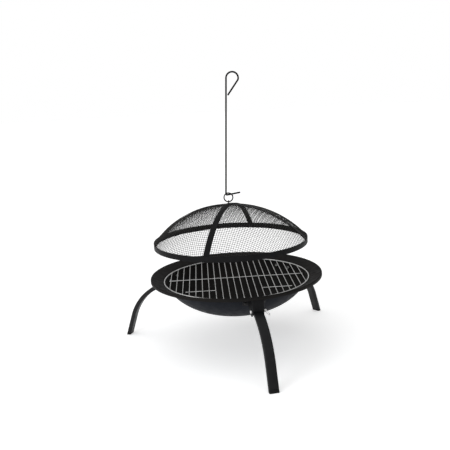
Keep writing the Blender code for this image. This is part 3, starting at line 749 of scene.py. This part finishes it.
def leg_line():
    """Middle line of a leg's tube as (distance outwards, height)."""
    start_y, start_z = LEG_BEND_START
    line = [(start_y - math.cos(LEG_TOP_SLOPE) * LEG_TOP_END,
             start_z + math.sin(LEG_TOP_SLOPE) * LEG_TOP_END)]
    middle = (start_y - LEG_BEND_RADIUS * math.sin(LEG_TOP_SLOPE),
              start_z - LEG_BEND_RADIUS * math.cos(LEG_TOP_SLOPE))
    line += arc(middle, LEG_BEND_RADIUS, QUARTER - LEG_TOP_SLOPE, QUARTER - LEG_FOOT_SLOPE, 40)
    last_y, last_z = line[-1]
    for part in (0.2, 0.4, 0.6, 0.8, 1.0):
        height = last_z + (LEG_TUBE_FOOT - last_z) * part
        line.append((last_y + (last_z - height) / math.tan(LEG_FOOT_SLOPE), height))
    return line


def rounded_section(width, depth, corner, steps=6):
    """Outline of a rounded rectangle, anticlockwise."""
    points = []
    for quarter, (side_x, side_y) in enumerate(((1, 1), (-1, 1), (-1, -1), (1, -1))):
        for step in range(steps + 1):
            angle = QUARTER * (quarter + step / steps)
            points.append((side_x * (width / 2.0 - corner) + corner * math.cos(angle),
                           side_y * (depth / 2.0 - corner) + corner * math.sin(angle)))
    return points


def swept(line, section, wall=0.0):
    """Sweeps a section along a line in the upright plane of a station. Section X is across.

    A wall thickness makes it a tube that is open at both ends. Its faces need fix_normals."""
    path = np.array(line)
    tangents = np.gradient(path, axis=0)
    tangents /= np.linalg.norm(tangents, axis=1, keepdims=True)
    shells = [section]
    if wall:
        width = max(x for x, _ in section) * 2.0 - 2.0 * wall
        depth = max(y for _, y in section) * 2.0 - 2.0 * wall
        shells.append(rounded_section(width, depth, LEG_CORNER - wall, len(section) // 4 - 1))
    vertices = []
    for shell in shells:
        for (out, up), (tangent_out, tangent_up) in zip(path, tangents):
            for x, y in shell:
                vertices.append((x, -(out + y * tangent_up), up - y * tangent_out))
    count = len(section)
    faces = tube_faces(len(path), count, False)
    if wall:
        inner = len(path) * count
        last = inner - count
        sides = faces[:-2]
        faces = sides + [tuple(inner + index for index in face) for face in sides]
        for step in range(count):
            after = (step + 1) % count
            for end in (0, last):
                faces.append((end + step, end + after, inner + end + after, inner + end + step))
    return vertices, faces


def make_leg(number):
    """Bent flat-oval tube with its pin hole, and the plastic plug in its foot."""
    station = station_matrix(number)
    section = rounded_section(LEG_WIDTH, LEG_DEPTH, LEG_CORNER)
    line = leg_line()
    leg = shaped(f"leg_{number}", swept(line, section, LEG_WALL))
    fix_normals(leg)
    carved(leg, moved(round_bar(LEG_BORE_RADIUS, THROUGH), pin_matrix(number)))
    leg.matrix_world = station
    settle(leg, f"leg_{number}", LEG_BLACK, [f"leg_tube_{number}"])
    make_foot_cap(number, station, section, line)


def make_foot_cap(number, station, section, line):
    """The plug: a body flush with the tube, a stub inside it, and a sole level with the floor."""
    end = Vector(line[-1])
    along = (end - Vector(line[-2])).normalized()
    gap = 0.0003
    body = swept([tuple(end + along * gap), tuple(end + along * 0.02)], section)
    cap = shaped(f"foot_plug_{number}", body)
    fix_normals(cap)
    sole = [(-0.05, -0.60), (0.05, -0.60), (0.05, -0.20), (-0.05, -0.20)]
    carved(cap, prism(sole, -0.05, 0.0))
    softened(cap, 0.0006, 3)
    spare = 2.0 * (LEG_WALL + gap)
    inner = rounded_section(LEG_WIDTH - spare, LEG_DEPTH - spare, LEG_CORNER - LEG_WALL)
    stub = shaped("stub", swept([tuple(end - along * 0.015), tuple(end + along * 0.003)], inner))
    fix_normals(stub)
    merge(cap, stub)
    cap.matrix_world = station
    settle(cap, f"leg_{number}", PLASTIC, [f"foot_cap_{number}"])


def fix_normals(piece):
    form = bmesh.new()
    form.from_mesh(piece.data)
    bmesh.ops.recalc_face_normals(form, faces=form.faces)
    form.to_mesh(piece.data)
    form.free()


# Brackets and fasteners

def ear_outline(pin_y, pin_z):
    """Side view of the bracket as (distance outwards, height)."""
    web = BRACKET_WEB_RADIUS
    high = SADDLE_TOP - 0.0005
    low = SADDLE_BOTTOM + 0.001
    outline = [(web, 0.2350), (0.2500, 0.2222), (wall_radius(high) + WELD_DEPTH, high),
               (wall_radius(low) + WELD_DEPTH, low)]
    outline += arc((pin_y, pin_z), BRACKET_EAR_RADIUS, math.radians(190.0), math.radians(340.0), 24)
    outline.append((web, BRACKET_WEB_BOTTOM))
    return outline


def channel_section():
    """Plan of the bracket: web outside, ears either side, bend radii between them."""
    half = BRACKET_WIDTH / 2.0
    web = -BRACKET_WEB_RADIUS
    back = -0.20
    outer = 0.0030
    inner = outer - BRACKET_PLATE
    left = (-half + outer, web + outer)
    right = (half - outer, web + outer)
    points = [(-half, back)]
    points += arc(left, outer, 2.0 * QUARTER, 3.0 * QUARTER, 6)
    points += arc(right, outer, 3.0 * QUARTER, 4.0 * QUARTER, 6)
    points += [(half, back), (half - BRACKET_PLATE, back)]
    points += arc(right, inner, 4.0 * QUARTER, 3.0 * QUARTER, 6)
    points += arc(left, inner, 3.0 * QUARTER, 2.0 * QUARTER, 6)
    points.append((-half + BRACKET_PLATE, back))
    return points


def make_bracket(number):
    """Folded channel cut to the ear's outline, on a curved back plate, with weld beads."""
    station = station_matrix(number)
    pin_y, pin_z = pin_place(number)
    bracket = shaped(f"leg_bracket_{number}", prism(channel_section(), 0.16, 0.24))
    upright = Matrix(((0.0, 0.0, 1.0, 0.0), (-1.0, 0.0, 0.0, 0.0), (0.0, 1.0, 0.0, 0.0),
                      (0.0, 0.0, 0.0, 1.0)))
    outline = ear_outline(pin_y, pin_z)
    carved(bracket, moved(prism(outline, -THROUGH, THROUGH), upright), "INTERSECT")
    inner = BRACKET_WIDTH / 2.0 - BRACKET_PLATE
    web = BRACKET_WEB_RADIUS
    carved(bracket, block((-inner, -web - 0.01, 0.15), (inner, -web + 0.008, BRACKET_WEB_BOTTOM)))
    carved(bracket, moved(round_bar(EAR_BORE_RADIUS, THROUGH, 32), pin_matrix(number)))
    softened(bracket, 0.0003, 2, 50.0)
    plate = new_piece("plate", saddle_mesh())
    softened(plate, 0.0004, 2, 50.0)
    merge(bracket, plate)
    bracket.matrix_world = station
    settle(bracket, "root", BRACKET_BLACK, [f"bracket_{number}"])
    beads = []
    for side in (-1.0, 1.0):
        edge = side * (BRACKET_WIDTH / 2.0 + 0.0002)
        line = []
        for step in range(7):
            height = SADDLE_BOTTOM + 0.0025 + (SADDLE_TOP - SADDLE_BOTTOM - 0.004) * step / 6
            lift = SADDLE_GAP + BRACKET_PLATE
            radius = math.sqrt((wall_radius(height) + lift) ** 2 - edge ** 2)
            line.append((edge, -radius, height - 0.0006))
        beads.append(weld_bead(line, 0.0011))
    weld = shaped(f"bracket_welds_{number}", joined(beads), 70.0)
    weld.matrix_world = station
    settle(weld, "root", BRACKET_BLACK)


def saddle_mesh():
    """Back plate that follows the bowl's wall, with rounded corners."""
    rows = 10
    columns = 20
    half = math.radians(SADDLE_ARC / 2.0)
    layers = []
    for thickness in (0.0, BRACKET_PLATE):
        grid = []
        for row in range(rows + 1):
            height = SADDLE_BOTTOM + (SADDLE_TOP - SADDLE_BOTTOM) * row / rows
            slope = wall_slope(height)
            lift = SADDLE_GAP + thickness
            radius = wall_radius(height) + lift * math.cos(slope)
            corner = 0.10 * half * max(0.0, abs(2.0 * row / rows - 1.0) * 5.0 - 4.0) ** 2
            reach = half - corner
            for column in range(columns + 1):
                angle = reach * (2.0 * column / columns - 1.0)
                grid.append((radius * math.sin(angle), -radius * math.cos(angle),
                             height - lift * math.sin(slope)))
        layers.append(grid)
    width = columns + 1
    count = len(layers[0])
    faces = []
    for row in range(rows):
        for column in range(columns):
            first = row * width + column
            faces.append((first, first + width, first + width + 1, first + 1))
            faces.append((count + first, count + first + 1, count + first + width + 1,
                          count + first + width))
    border = list(range(width))
    border += [row * width + columns for row in range(1, rows + 1)]
    border += [rows * width + column for column in range(columns - 1, -1, -1)]
    border += [row * width for row in range(rows - 1, 0, -1)]
    for first, second in zip(border, border[1:] + border[:1]):
        faces.append((first, second, count + second, count + first))
    form = bmesh.new()
    points = [form.verts.new(point) for point in layers[0] + layers[1]]
    for face in faces:
        form.faces.new([points[index] for index in face])
    bmesh.ops.recalc_face_normals(form, faces=form.faces)
    mesh = bpy.data.meshes.new("plate")
    form.to_mesh(mesh)
    form.free()
    return mesh


def thread(radius, top, bottom):
    """Side of a threaded shank from top to bottom, as (radius, height) points."""
    pitch = 0.0005
    points = []
    count = max(1, round((top - bottom) / pitch))
    step = (top - bottom) / count
    for index in range(count):
        points.append((radius, top - step * index))
        points.append((radius * 0.90, top - step * (index + 0.5)))
    points.append((radius, bottom + 0.0002))
    points.append((radius * 0.85, bottom))
    return points


def bolt_mesh():
    """Pan-headed bolt with a cross recess, along Z, its head above z = 0."""
    head = [(0.0, 0.0030), (BOLT_HEAD_RADIUS * 0.45, 0.0029), (BOLT_HEAD_RADIUS * 0.78, 0.0024),
            (BOLT_HEAD_RADIUS * 0.95, 0.0016), (BOLT_HEAD_RADIUS, 0.0009), (BOLT_HEAD_RADIUS, 0.0001),
            (BOLT_HEAD_RADIUS - 0.0001, 0.0), (BOLT_RADIUS, 0.0)]
    profile = head + thread(BOLT_RADIUS, -0.0004, -BOLT_LENGTH) + [(0.0, -BOLT_LENGTH)]
    bolt = shaped("bolt", lathe(profile, 32))
    slot_half = 0.00045
    reach = 0.0024
    for low, high in (((-slot_half, -reach, 0.0016), (slot_half, reach, 0.004)),
                      ((-reach, -slot_half, 0.0016), (reach, slot_half, 0.004))):
        carved(bolt, block(low, high))
    return taken_mesh(bolt)


def taken_mesh(piece):
    """A piece's mesh, for other pieces to use, without the piece."""
    mesh = piece.data
    bpy.data.objects.remove(piece, do_unlink=True)
    return mesh


def nut_mesh(radius, height, bore):
    """Hexagon nut centred on its origin, its corners turned off at both ends."""
    half = height / 2.0
    nut = shaped("nut", round_bar(radius, half, 6))
    drop = radius * 0.16
    cone = [(0.0, half), (radius * 0.84, half), (radius * 1.05, half - drop * 0.8),
            (radius * 1.05, drop * 0.8 - half), (radius * 0.84, -half), (0.0, -half)]
    carved(nut, lathe(cone, 48), "INTERSECT")
    carved(nut, round_bar(bore, height))
    return taken_mesh(nut)


def make_bolts(number, bolt, nut):
    """Bolts through back plate and bowl, each with its nut inside the bowl."""
    slope = wall_slope(BOLT_HEIGHT)
    for side, turn in (("left", -BOLT_AZIMUTH), ("right", BOLT_AZIMUTH)):
        seat = (station_matrix(number) @ Matrix.Rotation(turn, 4, "Z")
                @ Matrix.Translation((0.0, -wall_radius(BOLT_HEIGHT), BOLT_HEIGHT))
                @ Matrix.Rotation(QUARTER + slope, 4, "X"))
        head = new_piece(f"bolt_{number}_{side}", bolt.copy())
        twist = Matrix.Rotation(0.7 * number + (1.1 if side == "left" else 0.2), 4, "Z")
        head.matrix_world = seat @ Matrix.Translation((0.0, 0.0, BOLT_OUTSIDE)) @ twist
        settle(head, "root", BOLT_BLACK, [f"bracket_bolt_{number}_{side}"])
        inside = new_piece(f"nut_{number}_{side}", nut.copy())
        inside.matrix_world = seat @ Matrix.Translation((0.0, 0.0, -NUT_INSIDE - NUT_HEIGHT / 2.0))
        settle(inside, "root", ZINC, [f"bracket_nut_{number}_{side}"])


def make_pin(number):
    """Clevis pin with a domed head and a chamfered, cross-drilled tip."""
    station = station_matrix(number)
    ear = BRACKET_WIDTH / 2.0 + 0.0003
    profile = [(0.0, PIN_END), (PIN_RADIUS - 0.001, PIN_END), (PIN_RADIUS, PIN_END - 0.001),
               (PIN_RADIUS, -ear), (PIN_HEAD_RADIUS - 0.0002, -ear),
               (PIN_HEAD_RADIUS, -ear - 0.0002), (PIN_HEAD_RADIUS, -ear - 0.0014)]
    for angle in range(10, 90, 10):
        profile.append((PIN_HEAD_RADIUS * math.cos(math.radians(angle)),
                        -ear - 0.0014 - 0.0019 * math.sin(math.radians(angle))))
    profile.append((0.0, -ear - 0.0033))
    pin = shaped(f"hinge_pin_{number}", lathe(profile, 40))
    joint = joints[f"split_ring_swing_{number}"]
    hole_place = station.inverted() @ Vector(joint["pos_m"])
    hole_axis = station.inverted().to_3x3() @ Vector(joint["axis"])
    along = hole_axis.to_track_quat("Z", "X").to_matrix().to_4x4()
    upright = pin_matrix(number)
    local = upright.inverted() @ Matrix.Translation(hole_place) @ along
    carved(pin, moved(round_bar(RING_HOLE_RADIUS, 0.008), local))
    pin.matrix_world = station @ upright
    settle(pin, "root", BRIGHT_STEEL, [f"clevis_pin_{number}"])


def make_split_ring(number):
    """Two close turns of flattened wire through the pin's cross hole."""
    joint = joints[f"split_ring_swing_{number}"]
    station = station_matrix(number)
    along = Vector(joint["axis"]).normalized()
    across = station.to_3x3() @ Vector((1.0, 0.0, 0.0))
    above = across.cross(along)
    frame_turn = Matrix((across, along, above)).transposed().to_4x4()
    centre = SPLIT_RING_RADIUS - 0.0003
    place = (Matrix.Translation(Vector(joint["pos_m"])) @ frame_turn
             @ Matrix.Translation((centre * math.cos(SPLIT_RING_HANG), 0.0,
                                   -centre * math.sin(SPLIT_RING_HANG)))
             @ Matrix.Rotation(SPLIT_RING_HANG, 4, "Y"))
    turn_depth = SPLIT_RING_WIRE / 2.0
    section = rounded_section(SPLIT_RING_WIRE, turn_depth, turn_depth * 0.45, 3)
    steps = 150
    points = []
    for step in range(steps + 1):
        part = step / steps
        angle = 2.0 * math.pi * SPLIT_RING_TURNS * part + SPLIT_RING_START
        lean = turn_depth * 0.52 * math.tanh((part - 0.5) * SPLIT_RING_CROSSOVER)
        for outwards, upwards in section:
            radius = SPLIT_RING_RADIUS + outwards
            points.append(place @ Vector((radius * math.cos(angle), radius * math.sin(angle),
                                          lean + upwards)))
    faces = tube_faces(steps + 1, len(section), False)
    ring = shaped(f"split_ring_coil_{number}", (points, faces))
    fix_normals(ring)
    settle(ring, f"split_ring_{number}", BRIGHT_STEEL, [f"split_ring_{number}"])


# Lid

def make_band():
    """Rolled hoop with its turned-in lower edge, and the weld that closes it at the back."""
    low = band_low.z
    high = band_high.z
    flange = BAND_RADIUS - BAND_FLANGE
    outline = [(flange, low), (BAND_RADIUS, low), (BAND_RADIUS, high), (BAND_RADIUS - SHEET, high),
               (BAND_RADIUS - SHEET, low + SHEET), (flange, low + SHEET)]
    profile = filleted(outline, 0.0005, 3, closed=True)
    band = shaped("lid_hoop", lathe(profile[::-1], 260, closed=True))
    fix_normals(band)
    band.location = LID_AXIS
    settle(band, "lid", LID_BLACK, ["lid_band"])
    seam_angle = STRAP_AZIMUTH + math.radians(128.0)
    seam_radius = BAND_RADIUS - 0.0004
    foot = Vector((seam_radius * math.cos(seam_angle), seam_radius * math.sin(seam_angle), 0.0))
    line = [LID_AXIS + foot + Vector((0.0, 0.0, low + 0.001)),
            LID_AXIS + foot + Vector((0.0, 0.0, high - 0.0008))]
    seam = shaped("lid_hoop_weld", weld_bead(line, 0.0009), 70.0)
    settle(seam, "lid", LID_BLACK)
    make_spot_welds(high)


def make_spot_welds(high):
    """Shallow round spot-weld marks where each strap's foot meets the hoop."""
    spots = []
    mark = [(0.0, 0.00045), (0.0016, 0.00042), (0.0022, 0.0003), (0.0026, 0.0), (0.0, 0.0)]
    for quarter in range(4):
        azimuth = STRAP_AZIMUTH + QUARTER * quarter
        for shift in (-0.005, 0.005):
            angle = azimuth + shift / BAND_RADIUS
            out = Vector((math.cos(angle), math.sin(angle), 0.0))
            place = LID_AXIS + out * (BAND_RADIUS - 0.0001) + Vector((0.0, 0.0, high - 0.0045))
            turn = out.to_track_quat("Z", "Y").to_matrix().to_4x4()
            spots.append(moved(lathe(mark, 20), Matrix.Translation(place) @ turn))
    marks = shaped("lid_spot_welds", joined(spots), 50.0)
    settle(marks, "lid", LID_BLACK)


def on_dome(across, along, lift):
    """Point of the pressed mesh above flat coordinates, and its outward direction."""
    flat = math.hypot(across, along)
    turn = math.atan2(along, across) + STRAP_AZIMUTH
    limit = DOME_SPHERE * HALF_ANGLE
    angle = min(flat, limit) / DOME_SPHERE
    out = Vector((math.cos(turn), math.sin(turn), 0.0))
    normal = out * math.sin(angle) + Vector((0.0, 0.0, math.cos(angle)))
    centre = LID_AXIS + Vector((0.0, 0.0, DOME_MIDDLE))
    if flat <= limit:
        return centre + normal * (DOME_SPHERE - MESH_WIRE * 1.05 + lift)
    edge = DOME_RADIUS - MESH_WIRE * 1.05
    drop = Vector((0.0, 0.0, band_high.z - (flat - limit)))
    return LID_AXIS + out * (edge + lift) + drop


def make_mesh_dome():
    """Plain-woven wire pressed to the dome: each wire passes over and under the next."""
    reach = DOME_SPHERE * HALF_ANGLE + DOME_SKIRT * 0.8
    count = int(reach / MESH_PITCH)
    amplitude = MESH_WIRE * 0.5
    splits = 3
    for name, crossed in (("mesh_warp", False), ("mesh_weft", True)):
        wires = []
        for index in range(-count, count + 1):
            across = index * MESH_PITCH
            half = math.sqrt(max(0.0, reach ** 2 - across ** 2))
            if half < 2.0 * MESH_PITCH:
                continue
            steps = max(4, round(2.0 * half / MESH_PITCH * splits))
            line = []
            for step in range(steps + 1):
                along = -half + 2.0 * half * step / steps
                phase = math.pi * (along / MESH_PITCH + index)
                lift = amplitude * math.cos(phase) * (-1.0 if crossed else 1.0)
                spot = (along, across) if crossed else (across, along)
                line.append(on_dome(*spot, lift))
            wires.append(tube(line, MESH_WIRE / 2.0, 6, domed=False))
        piece = shaped(name, joined(wires), 80.0)
        settle(piece, "lid", MESH_BLACK, ["mesh_dome"] if not crossed else ())


def strap_line(hump):
    """Half of a strap's middle line from its foot to the crossing: (distance, height)."""
    lift = STRAP_GAP + STRAP_DEPTH / 2.0
    half = [(DOME_RADIUS + lift, band_high.z - DOME_SKIRT)]
    steps = 34
    for step in range(steps + 1):
        angle = HALF_ANGLE + (CROSSING_END - HALF_ANGLE) * step / steps
        half.append(((DOME_SPHERE + lift) * math.sin(angle),
                     DOME_MIDDLE + (DOME_SPHERE + lift) * math.cos(angle)))
    for step in range(1, 9):
        part = step / 8
        rise = part * part * (3.0 - 2.0 * part)
        angle = CROSSING_END + (CROSSING_START - CROSSING_END) * part
        radius = DOME_SPHERE + lift + hump * rise
        half.append((radius * math.sin(angle), DOME_MIDDLE + radius * math.cos(angle)))
    return half


def make_strap(name, azimuth, hump, node):
    """Flat strip with rounded edges over the dome."""
    half = strap_line(hump)
    line = [(-x, z) for x, z in half] + half[::-1]
    section = rounded_section(STRAP_WIDTH, STRAP_DEPTH, STRAP_DEPTH * 0.49, 4)
    strap = shaped(name, swept(line, section))
    fix_normals(strap)
    strap.matrix_world = Matrix.Translation(LID_AXIS) @ Matrix.Rotation(azimuth + QUARTER, 4, "Z")
    settle(strap, "lid", LID_BLACK, [node])


def make_eye_bolt():
    """Forged eye with a threaded shank, its washer and nut under the dome."""
    low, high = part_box("eye_bolt")
    middle = high.z - EYE_RADIUS - EYE_WIRE / 2.0
    turn = (Matrix.Translation((RING_PIVOT.x, RING_PIVOT.y, 0.0))
            @ Matrix.Rotation(HELD_TURN, 4, "Z"))
    upright = turn @ Matrix.Translation((0.0, 0.0, middle)) @ Matrix.Rotation(QUARTER, 4, "Y")
    ring = tube(circle(EYE_RADIUS, 56, upright), EYE_WIRE / 2.0, 16, closed=True)
    top = middle - EYE_RADIUS
    profile = [(0.0, top), (0.0030, top - 0.0002), (0.0030, top - 0.0013),
               (EYE_SHANK_RADIUS, top - 0.0014)]
    profile += thread(EYE_SHANK_RADIUS, top - 0.0016, low.z) + [(0.0, low.z)]
    eye = shaped("lift_eye", joined([ring, moved(lathe(profile, 28), turn)]))
    settle(eye, "lid", WIRE_BLACK, ["eye_bolt"])
    low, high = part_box("eye_washer")
    outer = (high.x - low.x) / 2.0
    outline = filleted([(0.0026, low.z), (0.0026, high.z), (outer, high.z), (outer, low.z)],
                       0.0002, 3, closed=True)
    washer = shaped("lift_eye_washer", moved(lathe(outline, 48, closed=True), turn))
    fix_normals(washer)
    settle(washer, "lid", ZINC, ["eye_washer"])
    low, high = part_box("eye_nut")
    nut = new_piece("lift_eye_nut", nut_mesh(0.0040, high.z - low.z, EYE_SHANK_RADIUS + 0.0001))
    nut.matrix_world = turn @ Matrix.Translation((0.0, 0.0, (low.z + high.z) / 2.0))
    settle(nut, "lid", ZINC, ["eye_nut"])


def make_lift_ring():
    """Ring of round wire with the butt weld that closes it, turned to the top right."""
    steps = 120
    centre = RING_PIVOT + Vector((0.0, 0.0, LIFT_RING_RADIUS))
    turn = (Matrix.Translation(centre) @ Matrix.Rotation(HELD_TURN, 4, "Z")
            @ Matrix.Rotation(QUARTER, 4, "X"))
    swell = []
    for step in range(steps):
        gap = (step / steps - 0.06) * 26.0
        swell.append(1.0 + 0.07 * math.exp(-gap * gap * 6.0))
    line = circle(LIFT_RING_RADIUS, steps, turn)
    ring = shaped("lid_ring", tube(line, LIFT_RING_WIRE / 2.0, 16, True, swell))
    settle(ring, "lift_ring", WIRE_BLACK, ["lift_ring"])


# Poker

def bend(corner, before, after, radius):
    """Points of a round bend at a corner between two directions."""
    steps = 12
    turn = before.angle(after)
    start = corner - before * (radius * math.tan(turn / 2.0))
    inward = (after - before * before.dot(after)).normalized()
    angles = [turn * step / steps for step in range(steps + 1)]
    return [start + before * (radius * math.sin(angle)) + inward * (radius * (1.0 - math.cos(angle)))
            for angle in angles]


def poker_line():
    """From the hook's tip, through the bend and up the rod, round the handle loop."""
    away = HOOK_REACH.normalized()
    up = Vector((math.sin(POKER_LEAN), 0.0, math.cos(POKER_LEAN)))
    across = Vector((math.cos(POKER_LEAN), 0.0, -math.sin(POKER_LEAN)))
    corner = -away * HOOK_BEFORE_RING
    points = [corner + HOOK_REACH * (1.0 - step / 12) for step in range(10)]
    points += bend(corner, -away, up, POKER_BEND)
    rod_top = corner + up * POKER_ROD
    points += [corner + up * (POKER_ROD * step / 16) for step in range(1, 17)]
    loop = rod_top + up * HANDLE_HEIGHT + across * HANDLE_RADIUS
    points += [rod_top + up * (HANDLE_HEIGHT * step / 6) for step in range(1, 6)]
    for angle in range(0, 196, 5):
        points.append(loop - across * (HANDLE_RADIUS * math.cos(math.radians(angle)))
                      + up * (HANDLE_RADIUS * math.sin(math.radians(angle))))
    end = rod_top + across * (POKER_WIRE + HANDLE_GAP) + up * 0.006
    start = points[-1]
    points += [start.lerp(end, step / 8) for step in range(1, 9)]
    return points


def make_poker():
    """Poker bent from one wire, with a loop for a handle."""
    turn = Matrix.Translation(HOOK_PLACE) @ Matrix.Rotation(HELD_TURN, 4, "Z")
    line = [turn @ point for point in poker_line()]
    poker = shaped("hooked_poker", tube(line, POKER_WIRE / 2.0, 18), 60.0)
    settle(poker, "poker", WIRE_BLACK, ["poker"])


# Stage

def make_camera():
    look = Vector((math.sin(CAMERA_YAW) * math.cos(CAMERA_PITCH),
                   math.cos(CAMERA_YAW) * math.cos(CAMERA_PITCH), math.sin(CAMERA_PITCH)))
    right = Vector((math.cos(CAMERA_YAW), -math.sin(CAMERA_YAW), 0.0))
    above = right.cross(look)
    rolled = right * math.cos(CAMERA_ROLL) + above * math.sin(CAMERA_ROLL)
    upright = above * math.cos(CAMERA_ROLL) - right * math.sin(CAMERA_ROLL)
    camera = new_piece("camera", bpy.data.cameras.new("camera"))
    camera.data.lens = CAMERA_LENS
    camera.data.sensor_width = 36.0
    camera.data.shift_x = -SHIFT
    camera.data.shift_y = SHIFT
    axes = Matrix((rolled, upright, -look)).transposed().to_4x4()
    stand = Matrix.Translation((0.0, -CAMERA_DISTANCE, CAMERA_HEIGHT)) @ axes
    camera.matrix_world = Matrix.Translation(AXIS) @ Matrix.Rotation(HELD_TURN, 4, "Z") @ stand
    bpy.context.scene.camera = camera


def make_light(name, kind, place, energy, **settings):
    """A light that stands at a place and faces the pit."""
    data = bpy.data.lights.new(name, kind)
    data.energy = energy
    for setting, value in settings.items():
        setattr(data, setting, value)
    light = new_piece(name, data)
    light.location = place
    aim = Vector((0.0, AXIS.y, AIM_HEIGHT)) - Vector(place)
    light.rotation_mode = "QUATERNION"
    light.rotation_quaternion = aim.to_track_quat("-Z", "Y")


def make_stage():
    floor = shaped("floor", lathe([(0.0, -0.0005), (30.0, -0.0005)], 96))
    made = Nodes("studio_floor")
    made.colour(made.mix(made.noise(3.0), (0.90, 0.90, 0.90), (0.92, 0.92, 0.92)))
    made.fixed("Roughness", 0.85)
    made.fixed("Specular IOR Level", 0.1)
    made.fixed("Emission Color", (1.0, 1.0, 1.0, 1.0))
    made.fixed("Emission Strength", FLOOR_GLOW)
    floor.data.materials.append(made.material)
    make_world()
    make_light("overhead", "SUN", SKY_PLACE, SKY_STRENGTH, angle=SKY_SPREAD)
    make_light("window", "AREA", WINDOW_PLACE, WINDOW_POWER, shape="SQUARE", size=WINDOW_SIZE,
               color=WINDOW_COLOUR)
    bpy.context.scene.view_settings.view_transform = "Standard"


def make_world():
    """White to the camera; to the surfaces, a room that is bright behind the pit and dim in front."""
    world = bpy.data.worlds.new("studio")
    world.use_nodes = True
    tree = world.node_tree
    room = tree.nodes["Background"]
    room.inputs["Color"].default_value = (1.0, 1.0, 1.0, 1.0)
    seen = new_node(tree, "ShaderNodeLightPath")
    way = new_node(tree, "ShaderNodeTexCoord")
    split = new_node(tree, "ShaderNodeSeparateXYZ")
    tree.links.new(way.outputs["Generated"], split.inputs["Vector"])
    values = {"From Min": -0.5, "From Max": 0.6, "To Min": ROOM_FRONT, "To Max": ROOM_BACK}
    depth = new_node(tree, "ShaderNodeMapRange", values, interpolation_type="SMOOTHSTEP")
    tree.links.new(split.outputs["Y"], depth.inputs["Value"])
    level = new_node(tree, "ShaderNodeMapRange", {"To Max": 1.0})
    tree.links.new(seen.outputs["Is Camera Ray"], level.inputs["Value"])
    tree.links.new(depth.outputs["Result"], level.inputs["To Min"])
    tree.links.new(level.outputs["Result"], room.inputs["Strength"])
    bpy.context.scene.world = world


make_camera()
make_bowl()
make_grate()
bolt_shape = bolt_mesh()
nut_shape = nut_mesh(NUT_RADIUS, NUT_HEIGHT, BOLT_RADIUS + 0.0002)
for number in (1, 2, 3):
    make_bracket(number)
    make_bolts(number, bolt_shape, nut_shape)
    make_pin(number)
    make_split_ring(number)
    make_leg(number)
make_band()
make_mesh_dome()
make_strap("strap_lower", STRAP_AZIMUTH, 0.0, "lid_strap_lower")
make_strap("strap_upper", STRAP_AZIMUTH + QUARTER, STRAP_DEPTH + STRAP_GAP, "lid_strap_upper")
make_eye_bolt()
make_lift_ring()
make_poker()
make_stage()
